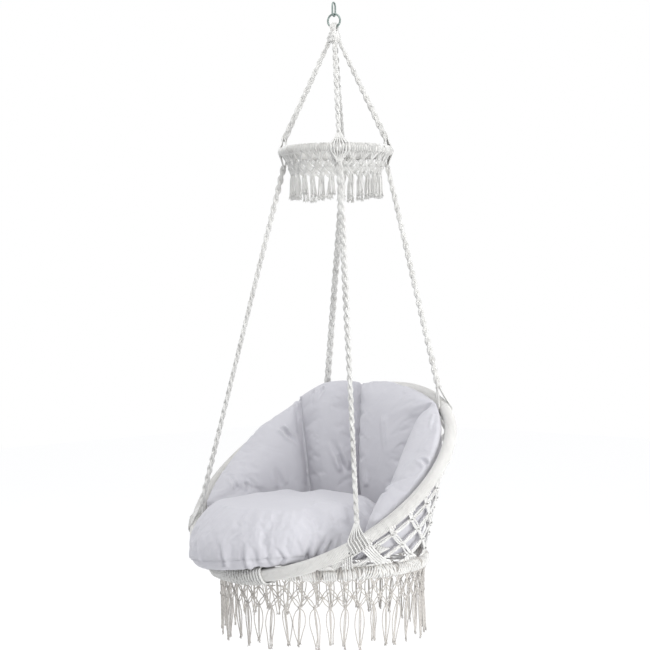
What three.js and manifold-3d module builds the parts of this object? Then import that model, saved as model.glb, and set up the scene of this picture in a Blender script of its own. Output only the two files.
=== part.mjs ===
// Macrame hammock chair that hangs from one steel link.
// Millimetres, +Z up, the sitter faces -Y, the sitter's left hand is +X.
// The origin is the hanging point, where a hook bears on the inside top of the hanger link.
// An angle round the chair is counted in degrees from the front (-Y) towards +X.
import * as THREE from 'three';
import { mergeVertices } from 'three/addons/utils/BufferGeometryUtils.js';
import Module from 'manifold-3d';

const wasm = await Module();
wasm.setup();

// Clearances between pieces that touch
const touchGap = 0.35;
const hoopGap = 0.6;
const cutOverrun = 2;

// Hanger link
const linkWire = 5;
const linkLength = 42;
const linkWidth = 24;

// Steel ring under the link, its plane turned about the vertical
const ringWire = 5.5;
const ringOutside = 42;
const ringTurn = 20;

// Rope loops over the ring and the knot that gathers them
const loopThickness = 9;
const loopWidth = 19;
const knotDiameter = 44;
const knotHeight = 27;

// Braided suspension ropes
const ropeDiameter = 18;
const ropeTopDiameter = 14;
const ropeSpread = 13.5;

// Canopy ring: a wrapped steel tube hoop, level
const canopyOutside = 309;
const canopyHeight = -406;
const canopyTube = 14;
const canopyWall = 1.5;
const canopyWrap = 4.4;
const canopySteps = 30;
const canopyRopeAngles = [48, 144, 216, 312];
const canopyKnotDiameter = 23;
const canopyKnotHeight = 34;

// Rim ring: a wrapped steel tube hoop, low at the front
const rimOutside = 800;
const rimCentreHeight = -1293;
const rimTilt = 36.5;
const rimTube = 25;
const rimWall = 1.5;
const rimWrap = 3.7;
const rimSteps = 40;
const rimRopeAngles = [54, 144, 216, 306];
const lashingFanHeight = 38;
const lashingFanWidth = 50;
const lashingFanDepth = 20;

// Base ring: a wrapped steel tube hoop, level, just behind the rim's lowest point
const baseOutside = 580;
const baseHeight = -1515;
const baseTube = 22;
const baseWall = 1.5;
const baseWrap = 3.7;
const baseSteps = 36;
const chairForward = 75;

// Butt joint of each tube hoop, at the back, and the spigot inside it
const buttGap = 1;
const buttAngle = 180;
const spigotReach = 40;
const spigotGap = 0.5;

// Thick cord that binds the rim to the base ring at the front
const lashCord = 8;
const lashTurns = 10;
const lashReach = 14;
const lashClearance = 1.9;
const lashSides = 5;
const lashStepsPerTurn = 10;

// Knotted net of the bowl's wall
const netPitch = 9;
const netFirstAngle = 49.5;
const netPanels = 6;
const netRows = 4;
const netKnot = 8.5;
const netThickness = 7;
const netSlack = 0.7;

// Knotted net under the seat
const seatNetColumns = 12;
const seatNetRowShares = [1, 0.66, 0.36];
const seatNetRaise = 7;
const seatNetKnot = 8;
const seatNetThickness = 7;
const seatNetDisc = 170;

// Fringe under the base ring
const fringeTassels = 40;
const fringeRows = 2;
const fringeRowHeight = 64;
const fringeOutset = 8;
const fringeKnot = 4.6;
const fringeThickness = 4;
const tasselLength = 84;

// Fringe under the canopy ring
const canopyTassels = 20;
const canopyFringeRows = 2;
const canopyRowHeight = 36;
const canopyFringeDrop = 5;
const canopyFringeDraw = 10;
const canopyFringeKnot = 5;
const canopyTasselLength = 62;

// Seat cushion
const seatDiameter = 524;
const seatHeight = 144;
const seatForward = 163;
const seatGathers = 14;
const seatGatherDepth = 3;
const seatSegments = 28;

// Back cushion: four channels between sewn seams, and how far its top stands over the rim
const backFirstAngle = 61;
const backLastAngle = 299;
const backSeamAngles = [140, 196, 230];
const backThickness = 92;
const backEdge = 26;
const backSeamDepth = 34;
const backSeamWidth = 7;
const backRise = 40;
const backOverRim = 12;
const backLean = 0.36;
const backSections = 34;
const backPointsAcross = 7;
const backTipTaper = 16;
const backTipStart = 1;
const backSeatGap = 6.5;
const backSeatSteps = 80;
const backRoundShare = 0.02;
const backPinchShare = 0.5;
const backRiseShares = [
  [61, 0], [120, 0], [140, 0.06], [180, 0.4], [196, 0.66], [214, 1], [230, 0.76], [250, 0.34], [299, 0.14],
];

// Colours from the photograph, with roughness and metalness
const cottonLook = [0xdfded8, 0.9, 0];
const cushionLook = [0xd2d2da, 0.95, 0];
const zincLook = [0x7c8683, 0.4, 1];
const tubeLook = [0xb9bbbd, 0.5, 0.8];

const degree = Math.PI / 180;
const up = new THREE.Vector3(0, 0, 1);

// Each material is made once
function lookOf([color, roughness, metalness]) {
  return new THREE.MeshStandardMaterial({ color, roughness, metalness });
}
const cotton = lookOf(cottonLook);
const cushionCloth = lookOf(cushionLook);
const zinc = lookOf(zincLook);
const tubeSteel = lookOf(tubeLook);

const chair = new THREE.Group();

function addPiece(name, geometry, material) {
  const mesh = new THREE.Mesh(geometry, material);
  mesh.name = name;
  chair.add(mesh);
}

// Collects points and faces of one closed skin and turns its faces outwards
class Skin {
  constructor() {
    this.points = [];
    this.faces = [];
  }

  point(p) {
    this.points.push(p.x, p.y, p.z);
    return this.points.length / 3 - 1;
  }

  face(a, b, c) {
    this.faces.push(a, b, c);
  }

  quad(a, b, c, d) {
    this.face(a, b, c);
    this.face(a, c, d);
  }

  volume() {
    let sum = 0;
    const corner = (i) => new THREE.Vector3().fromArray(this.points, 3 * this.faces[i]);
    for (let i = 0; i < this.faces.length; i += 3) {
      sum += corner(i).dot(corner(i + 1).cross(corner(i + 2)));
    }
    return sum / 6;
  }

  geometry() {
    if (this.volume() < 0) {
      this.faces.reverse();
    }
    const geometry = new THREE.BufferGeometry();
    geometry.setAttribute('position', new THREE.Float32BufferAttribute(this.points, 3));
    geometry.setIndex(this.faces);
    geometry.computeVertexNormals();
    return geometry;
  }
}

// Solid through a list of rings of points, with flat ends or closed on itself
function loft(rings, closed = false) {
  const skin = new Skin();
  const indices = rings.map((ring) => ring.map((p) => skin.point(p)));
  const count = rings[0].length;
  const last = closed ? rings.length : rings.length - 1;
  for (let i = 0; i < last; i += 1) {
    const near = indices[i];
    const far = indices[(i + 1) % rings.length];
    for (let j = 0; j < count; j += 1) {
      const k = (j + 1) % count;
      skin.quad(near[j], near[k], far[k], far[j]);
    }
  }
  if (!closed) {
    capEnd(skin, rings[0], indices[0], true);
    capEnd(skin, rings[rings.length - 1], indices[rings.length - 1], false);
  }
  return skin.geometry();
}

function capEnd(skin, ring, indices, first) {
  const middle = new THREE.Vector3();
  ring.forEach((p) => middle.add(p));
  const hub = skin.point(middle.divideScalar(ring.length));
  indices.forEach((index, j) => {
    const next = indices[(j + 1) % indices.length];
    if (first) {
      skin.face(hub, next, index);
    } else {
      skin.face(hub, index, next);
    }
  });
}

// Round section of a given radius in the plane of the two directions
function section(centre, across, along, radius, sides) {
  const ring = [];
  for (let i = 0; i < sides; i += 1) {
    const turn = (2 * Math.PI * i) / sides;
    const p = centre.clone();
    p.addScaledVector(across, radius * Math.cos(turn));
    p.addScaledVector(along, radius * Math.sin(turn));
    ring.push(p);
  }
  return ring;
}

// Joins and cuts of closed solids
function toSolid(geometry) {
  const bare = geometry.clone();
  bare.deleteAttribute('normal');
  bare.deleteAttribute('uv');
  const merged = mergeVertices(bare);
  const vertProperties = new Float32Array(merged.attributes.position.array);
  const triVerts = new Uint32Array(merged.index.array);
  return new wasm.Manifold(new wasm.Mesh({ numProp: 3, vertProperties, triVerts }));
}

function fromSolid(solid) {
  const mesh = solid.getMesh();
  const geometry = new THREE.BufferGeometry();
  geometry.setAttribute('position', new THREE.BufferAttribute(mesh.vertProperties, 3));
  geometry.setIndex(new THREE.BufferAttribute(mesh.triVerts, 1));
  geometry.computeVertexNormals();
  return geometry;
}

// A ring of the chair: its centreline, radial and axial directions, cut into equal chords
function makeRing({ outside, wrapRadius, height, forward, tilt, steps }) {
  const radius = outside / 2 - wrapRadius;
  const centre = new THREE.Vector3(0, -forward, height);
  const slope = tilt * degree;
  const axis = new THREE.Vector3(0, -Math.sin(slope), Math.cos(slope));
  const radialAt = (angle) => {
    const turn = angle * degree;
    const back = -Math.cos(turn);
    return new THREE.Vector3(Math.sin(turn), back * Math.cos(slope), back * Math.sin(slope));
  };
  const exactPoint = (angle) => radialAt(angle).multiplyScalar(radius).add(centre);
  const step = 360 / steps;
  const station = (angle) => {
    const cell = Math.floor(angle / step - 0.5 + 1e-9);
    const start = (cell + 0.5) * step;
    const share = (angle - start) / step;
    const mix = (f) => f(start).lerp(f(start + step), share);
    const along = axis.clone().cross(mix(radialAt)).normalize();
    return { centre: mix(exactPoint), radial: mix(radialAt), axis, along };
  };
  const stations = (from, to) => {
    const list = [station(from)];
    for (let i = Math.floor(from / step - 0.5 + 1e-6) + 1; (i + 0.5) * step < to - 1e-6; i += 1) {
      list.push(station((i + 0.5) * step));
    }
    list.push(station(to));
    return list;
  };
  return { radius, centre, step, radialAt, station, stations };
}

const canopyWrapRadius = canopyTube / 2 + canopyWrap;
const rimWrapRadius = rimTube / 2 + rimWrap + hoopGap;
const baseWrapRadius = baseTube / 2 + baseWrap + hoopGap;

const canopyRing = makeRing({
  outside: canopyOutside,
  wrapRadius: canopyWrapRadius,
  height: canopyHeight,
  forward: 0,
  tilt: 0,
  steps: canopySteps,
});
const rimRing = makeRing({
  outside: rimOutside,
  wrapRadius: rimWrapRadius,
  height: rimCentreHeight,
  forward: chairForward,
  tilt: rimTilt,
  steps: rimSteps,
});
const baseRing = makeRing({
  outside: baseOutside,
  wrapRadius: baseWrapRadius,
  height: baseHeight,
  forward: chairForward,
  tilt: 0,
  steps: baseSteps,
});

// Pipe wall along part of a ring, open at both ends
function sleeve(ring, from, to, outer, inner, sides) {
  const skin = new Skin();
  const walls = ring.stations(from, to).map(({ centre, radial, axis }) => ({
    outer: section(centre, radial, axis, outer, sides).map((p) => skin.point(p)),
    inner: section(centre, radial, axis, inner, sides).map((p) => skin.point(p)),
  }));
  const first = walls[0];
  const last = walls[walls.length - 1];
  for (let j = 0; j < sides; j += 1) {
    const k = (j + 1) % sides;
    for (let i = 0; i + 1 < walls.length; i += 1) {
      const near = walls[i];
      const far = walls[i + 1];
      skin.quad(near.outer[j], near.outer[k], far.outer[k], far.outer[j]);
      skin.quad(near.inner[k], near.inner[j], far.inner[j], far.inner[k]);
    }
    skin.quad(first.outer[k], first.outer[j], first.inner[j], first.inner[k]);
    skin.quad(last.outer[j], last.outer[k], last.inner[k], last.inner[j]);
  }
  return skin.geometry();
}

// Solid bar along part of a ring
function bar(ring, from, to, radius, sides) {
  const rings = ring.stations(from, to).map(({ centre, radial, axis }) => (
    section(centre, radial, axis, radius, sides)
  ));
  return loft(rings);
}

function angleFor(ring, length) {
  return length / ring.radius / degree;
}

// Tube hoop with its butt joint and the spigot inside it
const hoopSides = 6;
const rimSides = 8;
function addHoop(name, ring, tube, wall, sides) {
  const half = angleFor(ring, buttGap / 2);
  const reach = angleFor(ring, spigotReach);
  const bore = tube / 2 - wall;
  const start = buttAngle + half;
  const end = buttAngle + 360 - half;
  addPiece(`${name}_hoop`, sleeve(ring, start, end, tube / 2, bore, sides), tubeSteel);
  addPiece(`${name}_spigot`, bar(ring, buttAngle - reach, buttAngle + reach, bore - spigotGap, sides), tubeSteel);
}

// Cord wrap round a hoop, in lengths between the places where something else grips the hoop
function addWraps(name, ring, tube, outer, stops, sides) {
  const trim = angleFor(ring, touchGap / 2);
  const inner = tube / 2 + hoopGap;
  stops.forEach(([label, from, to]) => {
    addPiece(`${name}_wrap_${label}`, sleeve(ring, from + trim, to - trim, outer, inner, sides), cotton);
  });
}

// Hanger link: an oval of round wire that stands square to the steel ring's plane
const ringNormal = new THREE.Vector3(Math.sin(ringTurn * degree), -Math.cos(ringTurn * degree), 0);
const ringAcross = new THREE.Vector3(Math.cos(ringTurn * degree), Math.sin(ringTurn * degree), 0);
const linkTop = linkWire / 2;
const linkBend = (linkWidth - linkWire) / 2;
const linkBottom = linkTop - (linkLength - linkWire);
const linkBendSteps = 8;

function hangerLink() {
  const rings = [];
  [[linkTop - linkBend, 0], [linkBottom + linkBend, Math.PI]].forEach(([height, start]) => {
    for (let i = 0; i <= linkBendSteps; i += 1) {
      const turn = start + (Math.PI * i) / linkBendSteps;
      const out = ringNormal.clone().multiplyScalar(Math.cos(turn)).addScaledVector(up, Math.sin(turn));
      const centre = out.clone().multiplyScalar(linkBend).addScaledVector(up, height);
      rings.push(section(centre, out, ringAcross, linkWire / 2, 8));
    }
  });
  return loft(rings, true);
}

// Steel ring that bears on the link's lower wire
const ringRadius = (ringOutside - ringWire) / 2;
const ringTopWire = linkBottom + linkWire / 2 + touchGap + ringWire / 2;
const ringHeight = ringTopWire - ringRadius;

function steelRing() {
  const geometry = new THREE.TorusGeometry(ringRadius, ringWire / 2, 8, 28);
  geometry.rotateX(Math.PI / 2);
  geometry.rotateZ(ringTurn * degree);
  geometry.translate(0, 0, ringHeight);
  return geometry;
}

// The ropes' loops over the ring: a saddle with a straight hole that clears the ring's bend
const ringBottomWire = ringHeight - ringRadius;
const holeSagitta = ringRadius - Math.sqrt(ringRadius ** 2 - (loopWidth / 2) ** 2);
const swingHeight = ringBottomWire + holeSagitta / 2;
const loopHole = ringWire / 2 + holeSagitta / 2 + hoopGap + touchGap;
const saddleRadius = loopHole + loopThickness;
const knotTop = swingHeight - saddleRadius;
const knotBottom = knotTop - knotHeight;

function ropeLoops() {
  const outline = new THREE.Shape();
  const foot = touchGap - saddleRadius;
  outline.moveTo(-saddleRadius, foot);
  outline.lineTo(saddleRadius, foot);
  outline.lineTo(saddleRadius, 0);
  outline.absarc(0, 0, saddleRadius, 0, Math.PI, false);
  outline.closePath();
  const hole = new THREE.Path();
  hole.absarc(0, 0, loopHole / Math.cos(Math.PI / 16), 0, 2 * Math.PI, true);
  outline.holes.push(hole);
  const geometry = new THREE.ExtrudeGeometry(outline, {
    depth: loopWidth,
    bevelEnabled: false,
    curveSegments: 8,
  });
  geometry.translate(0, 0, -loopWidth / 2);
  const place = new THREE.Matrix4().makeBasis(ringNormal, up, ringNormal.clone().cross(up));
  place.setPosition(0, 0, swingHeight);
  return geometry.applyMatrix4(place);
}

// Gathering knot: three round turns of cord over the folded ropes
const knotProfileShares = [
  [0.96, 0], [1, 0.17], [0.9, 0.3], [0.84, 0.36], [0.94, 0.45],
  [0.97, 0.55], [0.84, 0.66], [0.78, 0.71], [0.86, 0.82], [0.82, 0.95], [0.62, 1],
];

function gatheringKnot() {
  const profile = [new THREE.Vector2(0, knotBottom)];
  knotProfileShares.forEach(([wide, high]) => {
    profile.push(new THREE.Vector2((wide * knotDiameter) / 2, knotBottom + high * knotHeight));
  });
  profile.push(new THREE.Vector2(0, knotTop));
  return new THREE.LatheGeometry(profile, 14).rotateX(Math.PI / 2);
}

// A rope between two level cuts
const ropeSides = 10;
const eastWard = new THREE.Vector3(1, 0, 0);
const northWard = new THREE.Vector3(0, 1, 0);

function rope(top, topDiameter, bottom) {
  return loft([
    section(top, eastWard, northWard, topDiameter / 2, ropeSides),
    section(bottom, eastWard, northWard, ropeDiameter / 2, ropeSides),
  ]);
}

// Where the ropes meet the canopy ring and the rim
const ropeNames = ['front_left', 'back_left', 'back_right', 'front_right'];

function canopyKnotPoint(i) {
  return canopyRing.station(canopyRopeAngles[i]).centre;
}

function lashingTop(i) {
  const foot = rimRing.station(rimRopeAngles[i]).centre;
  const head = canopyKnotPoint(i);
  head.z -= canopyKnotHeight / 2;
  const pull = head.sub(foot).normalize();
  return foot.addScaledVector(pull, rimWrapRadius + lashingFanHeight);
}

function upperRope(i) {
  const angle = canopyRopeAngles[i] * degree;
  const top = new THREE.Vector3(
    ropeSpread * Math.sin(angle),
    -ropeSpread * Math.cos(angle),
    knotBottom - touchGap,
  );
  const bottom = canopyKnotPoint(i);
  bottom.z += canopyKnotHeight / 2 + touchGap;
  return rope(top, ropeTopDiameter, bottom);
}

function lowerRope(i) {
  const top = canopyKnotPoint(i);
  top.z -= canopyKnotHeight / 2 + touchGap;
  const bottom = lashingTop(i);
  bottom.z += touchGap;
  return rope(top, ropeDiameter, bottom);
}

// Knot that grips the canopy ring between two lengths of its wrap
function canopyKnot(i) {
  const angle = canopyRopeAngles[i];
  const block = new THREE.CylinderGeometry(
    canopyKnotDiameter / 2,
    canopyKnotDiameter / 2,
    canopyKnotHeight,
    12,
  );
  block.rotateX(Math.PI / 2);
  const centre = canopyKnotPoint(i);
  block.translate(centre.x, centre.y, centre.z);
  const reach = angleFor(canopyRing, canopyKnotDiameter / 2 + cutOverrun);
  const hole = bar(canopyRing, angle - reach, angle + reach, canopyTube / 2 + hoopGap, hoopSides);
  return fromSolid(toSolid(block).subtract(toSolid(hole)));
}

// Fanned cords at a rope's foot, wrapped round the rim's hoop
function rimLashing(i) {
  const angle = rimRopeAngles[i];
  const half = rimRing.step / 2 - angleFor(rimRing, touchGap / 2);
  const grip = bar(rimRing, angle - half, angle + half, rimWrapRadius, rimSides);
  const top = lashingTop(i);
  const foot = rimRing.station(angle).centre;
  const pull = top.clone().sub(foot).normalize();
  const along = rimRing.station(angle + half).centre.sub(rimRing.station(angle - half).centre).normalize();
  const across = pull.clone().cross(along).normalize();
  const turn = Math.atan2(along.y, along.x);
  const level = new THREE.Vector3(Math.cos(turn), Math.sin(turn), 0);
  const levelAcross = new THREE.Vector3(-Math.sin(turn), Math.cos(turn), 0);
  if (levelAcross.dot(across) < 0) {
    levelAcross.negate();
  }
  const fanFoot = section(foot, along.clone().multiplyScalar(lashingFanWidth / 2), across.multiplyScalar(lashingFanDepth / 2), 1, 10);
  const fanTop = section(top, level.multiplyScalar(ropeDiameter / 2), levelAcross.multiplyScalar(ropeDiameter / 2), 1, 10);
  const reach = half + angleFor(rimRing, cutOverrun);
  const hole = bar(rimRing, angle - reach, angle + reach, rimTube / 2 + hoopGap, rimSides);
  return fromSolid(toSolid(grip).add(toSolid(loft([fanFoot, fanTop]))).subtract(toSolid(hole)));
}

// Front lashing: one cord wound round the rim and the base ring together
const lashOrbit = rimWrapRadius + lashClearance + lashCord / 2;
const lashOutside = lashOrbit + lashCord / 2 + touchGap;

// Angle on the base ring straight behind a point of the rim
function baseAngleBehind(angle) {
  const rimPoint = rimRing.station(angle + 360).centre;
  return Math.atan2(rimPoint.x, -rimPoint.y - chairForward) / degree;
}

// Whether the lashing covers the base ring at an angle
function lashedAt(angle) {
  const fromFront = Math.abs(((angle + 180) % 360) - 180);
  return fromFront < baseAngleBehind(lashReach) + angleFor(baseRing, 2 * lashCord);
}

function frontLashing() {
  const centres = [];
  const count = lashTurns * lashStepsPerTurn;
  for (let i = 0; i <= count; i += 1) {
    const turn = (2 * Math.PI * i) / lashStepsPerTurn;
    const angle = lashReach * ((2 * i) / count - 1);
    const rimPoint = rimRing.station(angle + 360).centre;
    const basePoint = baseRing.station(baseAngleBehind(angle) + 360).centre;
    const across = basePoint.clone().sub(rimPoint).normalize();
    const rise = across.clone().cross(tangentAt(baseAngleBehind(angle))).normalize();
    const side = Math.cos(turn);
    const lift = Math.sin(turn);
    const hub = side > 0 ? basePoint : rimPoint;
    centres.push(hub.clone().addScaledVector(across, lashOrbit * side).addScaledVector(rise, lashOrbit * lift));
  }
  const curve = centres.map((p, i) => {
    const before = centres[Math.max(i - 1, 0)];
    const after = centres[Math.min(i + 1, count)];
    return { centre: p, tangent: after.clone().sub(before).normalize() };
  });
  const rings = curve.map(({ centre, tangent }, i) => {
    const angle = lashReach * ((2 * i) / count - 1);
    const along = tangentAt(angle);
    along.addScaledVector(tangent, -along.dot(tangent)).normalize();
    const out = tangent.clone().cross(along).normalize();
    return section(centre, along, out, lashCord / 2, lashSides);
  });
  let least = Infinity;
  for (let i = 0; i < rings.length; i += 1) {
    for (let j = i + Math.floor(lashStepsPerTurn / 2); j < rings.length; j += 1) {
      for (const p of rings[i]) {
        for (const q of rings[j]) {
          least = Math.min(least, p.distanceTo(q));
        }
      }
    }
  }
  console.log(`front lashing: least gap between its turns ${least.toFixed(2)} mm`);
  return loft(rings);
}

// Level direction along the chair's rings at an angle
function tangentAt(angle) {
  return new THREE.Vector3(Math.cos(angle * degree), Math.sin(angle * degree), 0);
}

// A knotted net or fringe. knotAt gives a knot's place and directions, joins lists the strands
// from a knot to the knots of the next row, and tails the knots that end a straight tassel.
function knottedNet(knots, strands, tails, size, thickness) {
  const skin = new Skin();
  const corners = knots.map(({ centre, across, down }) => {
    const out = across.clone().cross(down).normalize().multiplyScalar(thickness / 2);
    const spot = (side, low) => {
      const p = centre.clone().addScaledVector(across, side * size).addScaledVector(down, low * size);
      return [skin.point(p.clone().add(out)), skin.point(p.sub(out))];
    };
    return { top: spot(0, -1), right: spot(1, 0), bottom: spot(0, 1), left: spot(-1, 0) };
  });
  const strip = (a, b, c, d) => {
    skin.quad(a[0], b[0], c[0], d[0]);
    skin.quad(a[1], d[1], c[1], b[1]);
  };
  const side = (a, b) => skin.quad(a[0], a[1], b[1], b[0]);
  const used = new Set();
  corners.forEach(({ top, right, bottom, left }) => strip(top, right, bottom, left));
  strands.forEach(([from, to, rightWard]) => {
    const a = corners[from];
    const b = corners[to];
    if (rightWard) {
      strip(a.right, b.top, b.left, a.bottom);
      side(a.right, b.top);
      side(b.left, a.bottom);
      used.add(`${from} lower right`).add(`${to} upper left`);
    } else {
      strip(a.left, a.bottom, b.right, b.top);
      side(a.bottom, b.right);
      side(b.top, a.left);
      used.add(`${from} lower left`).add(`${to} upper right`);
    }
  });
  tails.forEach(([from, to]) => {
    const a = corners[from];
    const b = corners[to];
    strip(a.right, b.right, b.top, a.bottom);
    strip(a.bottom, b.top, b.left, a.left);
    side(a.right, b.right);
    side(b.left, a.left);
    used.add(`${from} lower right`).add(`${from} lower left`);
    used.add(`${to} upper right`).add(`${to} upper left`);
  });
  corners.forEach(({ top, right, bottom, left }, i) => {
    [['upper right', top, right], ['lower right', right, bottom], ['lower left', bottom, left], ['upper left', left, top]]
      .filter(([edge]) => !used.has(`${i} ${edge}`))
      .forEach(([, a, b]) => side(a, b));
  });
  return skin.geometry();
}

// Knots in staggered rows: whole columns first to last, and short rows half a column on. The last
// row of a fringe is whole, so that a tassel hangs at each column.
function staggeredNet(rows, first, last, knotAt, shortFirst = 0) {
  const knots = [];
  const strands = [];
  const index = new Map();
  for (let row = 0; row < rows; row += 1) {
    const short = (row + shortFirst) % 2;
    for (let column = first; column <= last - short; column += 1) {
      index.set(`${row} ${column}`, knots.length);
      knots.push(knotAt(row, column + short / 2));
    }
  }
  for (let row = 0; row + 1 < rows; row += 1) {
    const shift = (row + shortFirst) % 2;
    for (let column = first; column <= last; column += 1) {
      const from = index.get(`${row} ${column}`);
      const right = index.get(`${row + 1} ${column + shift}`);
      const left = index.get(`${row + 1} ${column + shift - 1}`);
      if (from !== undefined && right !== undefined) {
        strands.push([from, right, true]);
      }
      if (from !== undefined && left !== undefined) {
        strands.push([from, left, false]);
      }
    }
  }
  return { knots, strands, index };
}

// The bowl's wall at an angle: straight from the base ring up to the rim
function wallAt(angle) {
  const base = baseRing.station(angle);
  const rim = rimRing.station(angle);
  const rise = rim.centre.sub(base.centre);
  const length = rise.length();
  return { foot: base.centre, length, rise: rise.normalize(), baseAlong: base.along, rimAlong: rim.along };
}

function bowlKnot(row, column) {
  const angle = netFirstAngle + netPitch * column;
  const { foot, length, rise, baseAlong, rimAlong } = wallAt(angle);
  const share = row / netRows;
  const low = (baseWrapRadius + netKnot + netSlack) / rise.clone().cross(baseAlong).length();
  const high = length - (rimWrapRadius + netKnot + netSlack) / rise.clone().cross(rimAlong).length();
  const across = rimAlong.lerp(baseAlong, share).normalize();
  const down = rise.clone().addScaledVector(across, -rise.dot(across)).normalize().negate();
  return { centre: foot.clone().addScaledVector(rise, high + (low - high) * share), across, down };
}

function addBowlNet() {
  const columns = Math.round((360 - 2 * netFirstAngle) / netPitch);
  const names = ['front_left', 'left', 'back_left', 'back_right', 'right', 'front_right'];
  names.slice(0, netPanels).forEach((label, i) => {
    const first = Math.ceil((columns + 1) * (i / netPanels));
    const last = Math.ceil((columns + 1) * ((i + 1) / netPanels)) - 1;
    const { knots, strands } = staggeredNet(netRows + 1, first, last, bowlKnot);
    addPiece(`bowl_net_${label}`, knottedNet(knots, strands, [], netKnot, netThickness), cotton);
  });
}

// Net under the seat: rows of knots that close in on a knotted disc
function seatNet() {
  const pitch = 360 / seatNetColumns;
  const rows = seatNetRowShares.length;
  const underCurve = baseWrapRadius - (seatNetRaise - seatNetThickness / 2) * Math.tan(Math.PI / hoopSides);
  const knots = [];
  const strands = [];
  for (let row = 0; row < rows; row += 1) {
    for (let column = 0; column < seatNetColumns; column += 1) {
      const angle = pitch * (column + (row % 2) / 2);
      const out = baseRing.radialAt(angle);
      const margin = lashedAt(angle) ? lashOutside : underCurve + 2 * touchGap;
      const ringReach = baseRing.station(angle).centre.distanceTo(baseRing.centre);
      const reach = (ringReach - margin - seatNetKnot) * seatNetRowShares[row];
      const centre = out.clone().multiplyScalar(reach).add(baseRing.centre);
      centre.z += seatNetRaise;
      knots.push({ centre, across: tangentAt(angle), down: out.negate() });
      if (row + 1 < rows) {
        const from = row * seatNetColumns + column;
        const shift = row % 2;
        const rightWard = (column + shift) % seatNetColumns;
        const leftWard = (column + shift - 1 + seatNetColumns) % seatNetColumns;
        strands.push([from, (row + 1) * seatNetColumns + rightWard, true]);
        strands.push([from, (row + 1) * seatNetColumns + leftWard, false]);
      }
    }
  }
  const net = knottedNet(knots, strands, [], seatNetKnot, seatNetThickness);
  const disc = new THREE.CylinderGeometry(seatNetDisc / 2, seatNetDisc / 2, seatNetThickness, seatNetColumns);
  disc.rotateX(Math.PI / 2);
  disc.translate(baseRing.centre.x, baseRing.centre.y, baseRing.centre.z + seatNetRaise);
  return fromSolid(toSolid(net).add(toSolid(disc)));
}

// Fringe quarters: rows of knots, then a tassel under each knot of the last row
function addFringe(name, { tassels, rows, tasselDrop, size, thickness, knotAt }) {
  const quarter = tassels / 4;
  ['front_left', 'back_left', 'back_right', 'front_right'].forEach((label, i) => {
    const first = i * quarter;
    const { knots, strands, index } = staggeredNet(rows, first, first + quarter - 1, knotAt, (rows + 1) % 2);
    const tails = [];
    for (let column = first; column < first + quarter; column += 1) {
      const from = index.get(`${rows - 1} ${column}`);
      if (from !== undefined) {
        const { centre, across, down } = knots[from];
        tails.push([from, knots.length]);
        knots.push({ centre: centre.clone().addScaledVector(down, tasselDrop), across, down });
      }
    }
    addPiece(`${name}_${label}`, knottedNet(knots, strands, tails, size, thickness), cotton);
  });
}

// Under the front lashing the base fringe hangs from the lashing's underside
function baseFringeKnot(row, column) {
  const angle = (360 / fringeTassels) * (column + 0.5);
  const out = baseRing.radialAt(angle);
  const centre = out.clone().multiplyScalar(baseRing.radius + fringeOutset).add(baseRing.centre);
  const underRing = baseWrapRadius * Math.cos(Math.PI / hoopSides);
  const start = underRing + fringeKnot + touchGap;
  const anchor = lashedAt(angle) ? lashOutside + touchGap + fringeKnot : start;
  centre.z -= row ? start + fringeRowHeight * row : anchor;
  return { centre, across: tangentAt(angle), down: up.clone().negate() };
}

// The canopy's fringe draws in as it hangs
function canopyFringeKnotAt(row, column) {
  const angle = (360 / canopyTassels) * (column + 0.5);
  const inside = Math.max(canopyWrapRadius, canopyKnotDiameter / 2) + touchGap + fringeThickness / 2;
  const chordRadius = canopyRing.radius * Math.cos((canopyRing.step / 2) * degree);
  const radius = chordRadius - inside - (canopyFringeDraw * row) / (canopyFringeRows - 1);
  const centre = canopyRing.radialAt(angle).multiplyScalar(radius).add(canopyRing.centre);
  centre.z -= canopyFringeDrop + canopyRowHeight * row;
  return { centre, across: tangentAt(angle), down: up.clone().negate() };
}

// Seat cushion: crown on top, a seam low on its side, its underside sunk into the net
const seatProfileShares = [
  [0.34, -1], [0.6, 0], [0.8, 0.015], [0.92, 0.07], [0.975, 0.2], [0.965, 0.25], [0.995, 0.36],
  [1, 0.5], [0.985, 0.64], [0.93, 0.77], [0.8, 0.88], [0.56, 0.96], [0.27, 0.995],
];
const seatBottom = baseHeight + lashOutside;
const seatSag = seatBottom - (baseHeight + seatNetRaise + seatNetThickness / 2 + touchGap);

function seatLevel(high) {
  return high < 0 ? seatBottom + high * seatSag : seatBottom + high * seatHeight;
}

function seatCushion() {
  const skin = new Skin();
  const pointAt = (x, y, z) => skin.point(new THREE.Vector3(x, y - seatForward, z));
  const rings = seatProfileShares.map(([wide, high]) => {
    const ring = [];
    for (let i = 0; i < seatSegments; i += 1) {
      const turn = (2 * Math.PI * i) / seatSegments;
      const gather = wide > 0.9 ? seatGatherDepth * (1 - Math.cos(seatGathers * turn)) / 2 : 0;
      const radius = (wide * seatDiameter) / 2 - gather;
      ring.push(pointAt(radius * Math.cos(turn), radius * Math.sin(turn), seatLevel(high)));
    }
    return ring;
  });
  const low = pointAt(0, 0, seatLevel(-1));
  const high = pointAt(0, 0, seatLevel(1));
  for (let i = 0; i < seatSegments; i += 1) {
    const j = (i + 1) % seatSegments;
    skin.face(low, rings[0][j], rings[0][i]);
    skin.face(high, rings[rings.length - 1][i], rings[rings.length - 1][j]);
    for (let k = 0; k + 1 < rings.length; k += 1) {
      skin.quad(rings[k][i], rings[k][j], rings[k + 1][j], rings[k + 1][i]);
    }
  }
  return skin.geometry();
}

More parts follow.
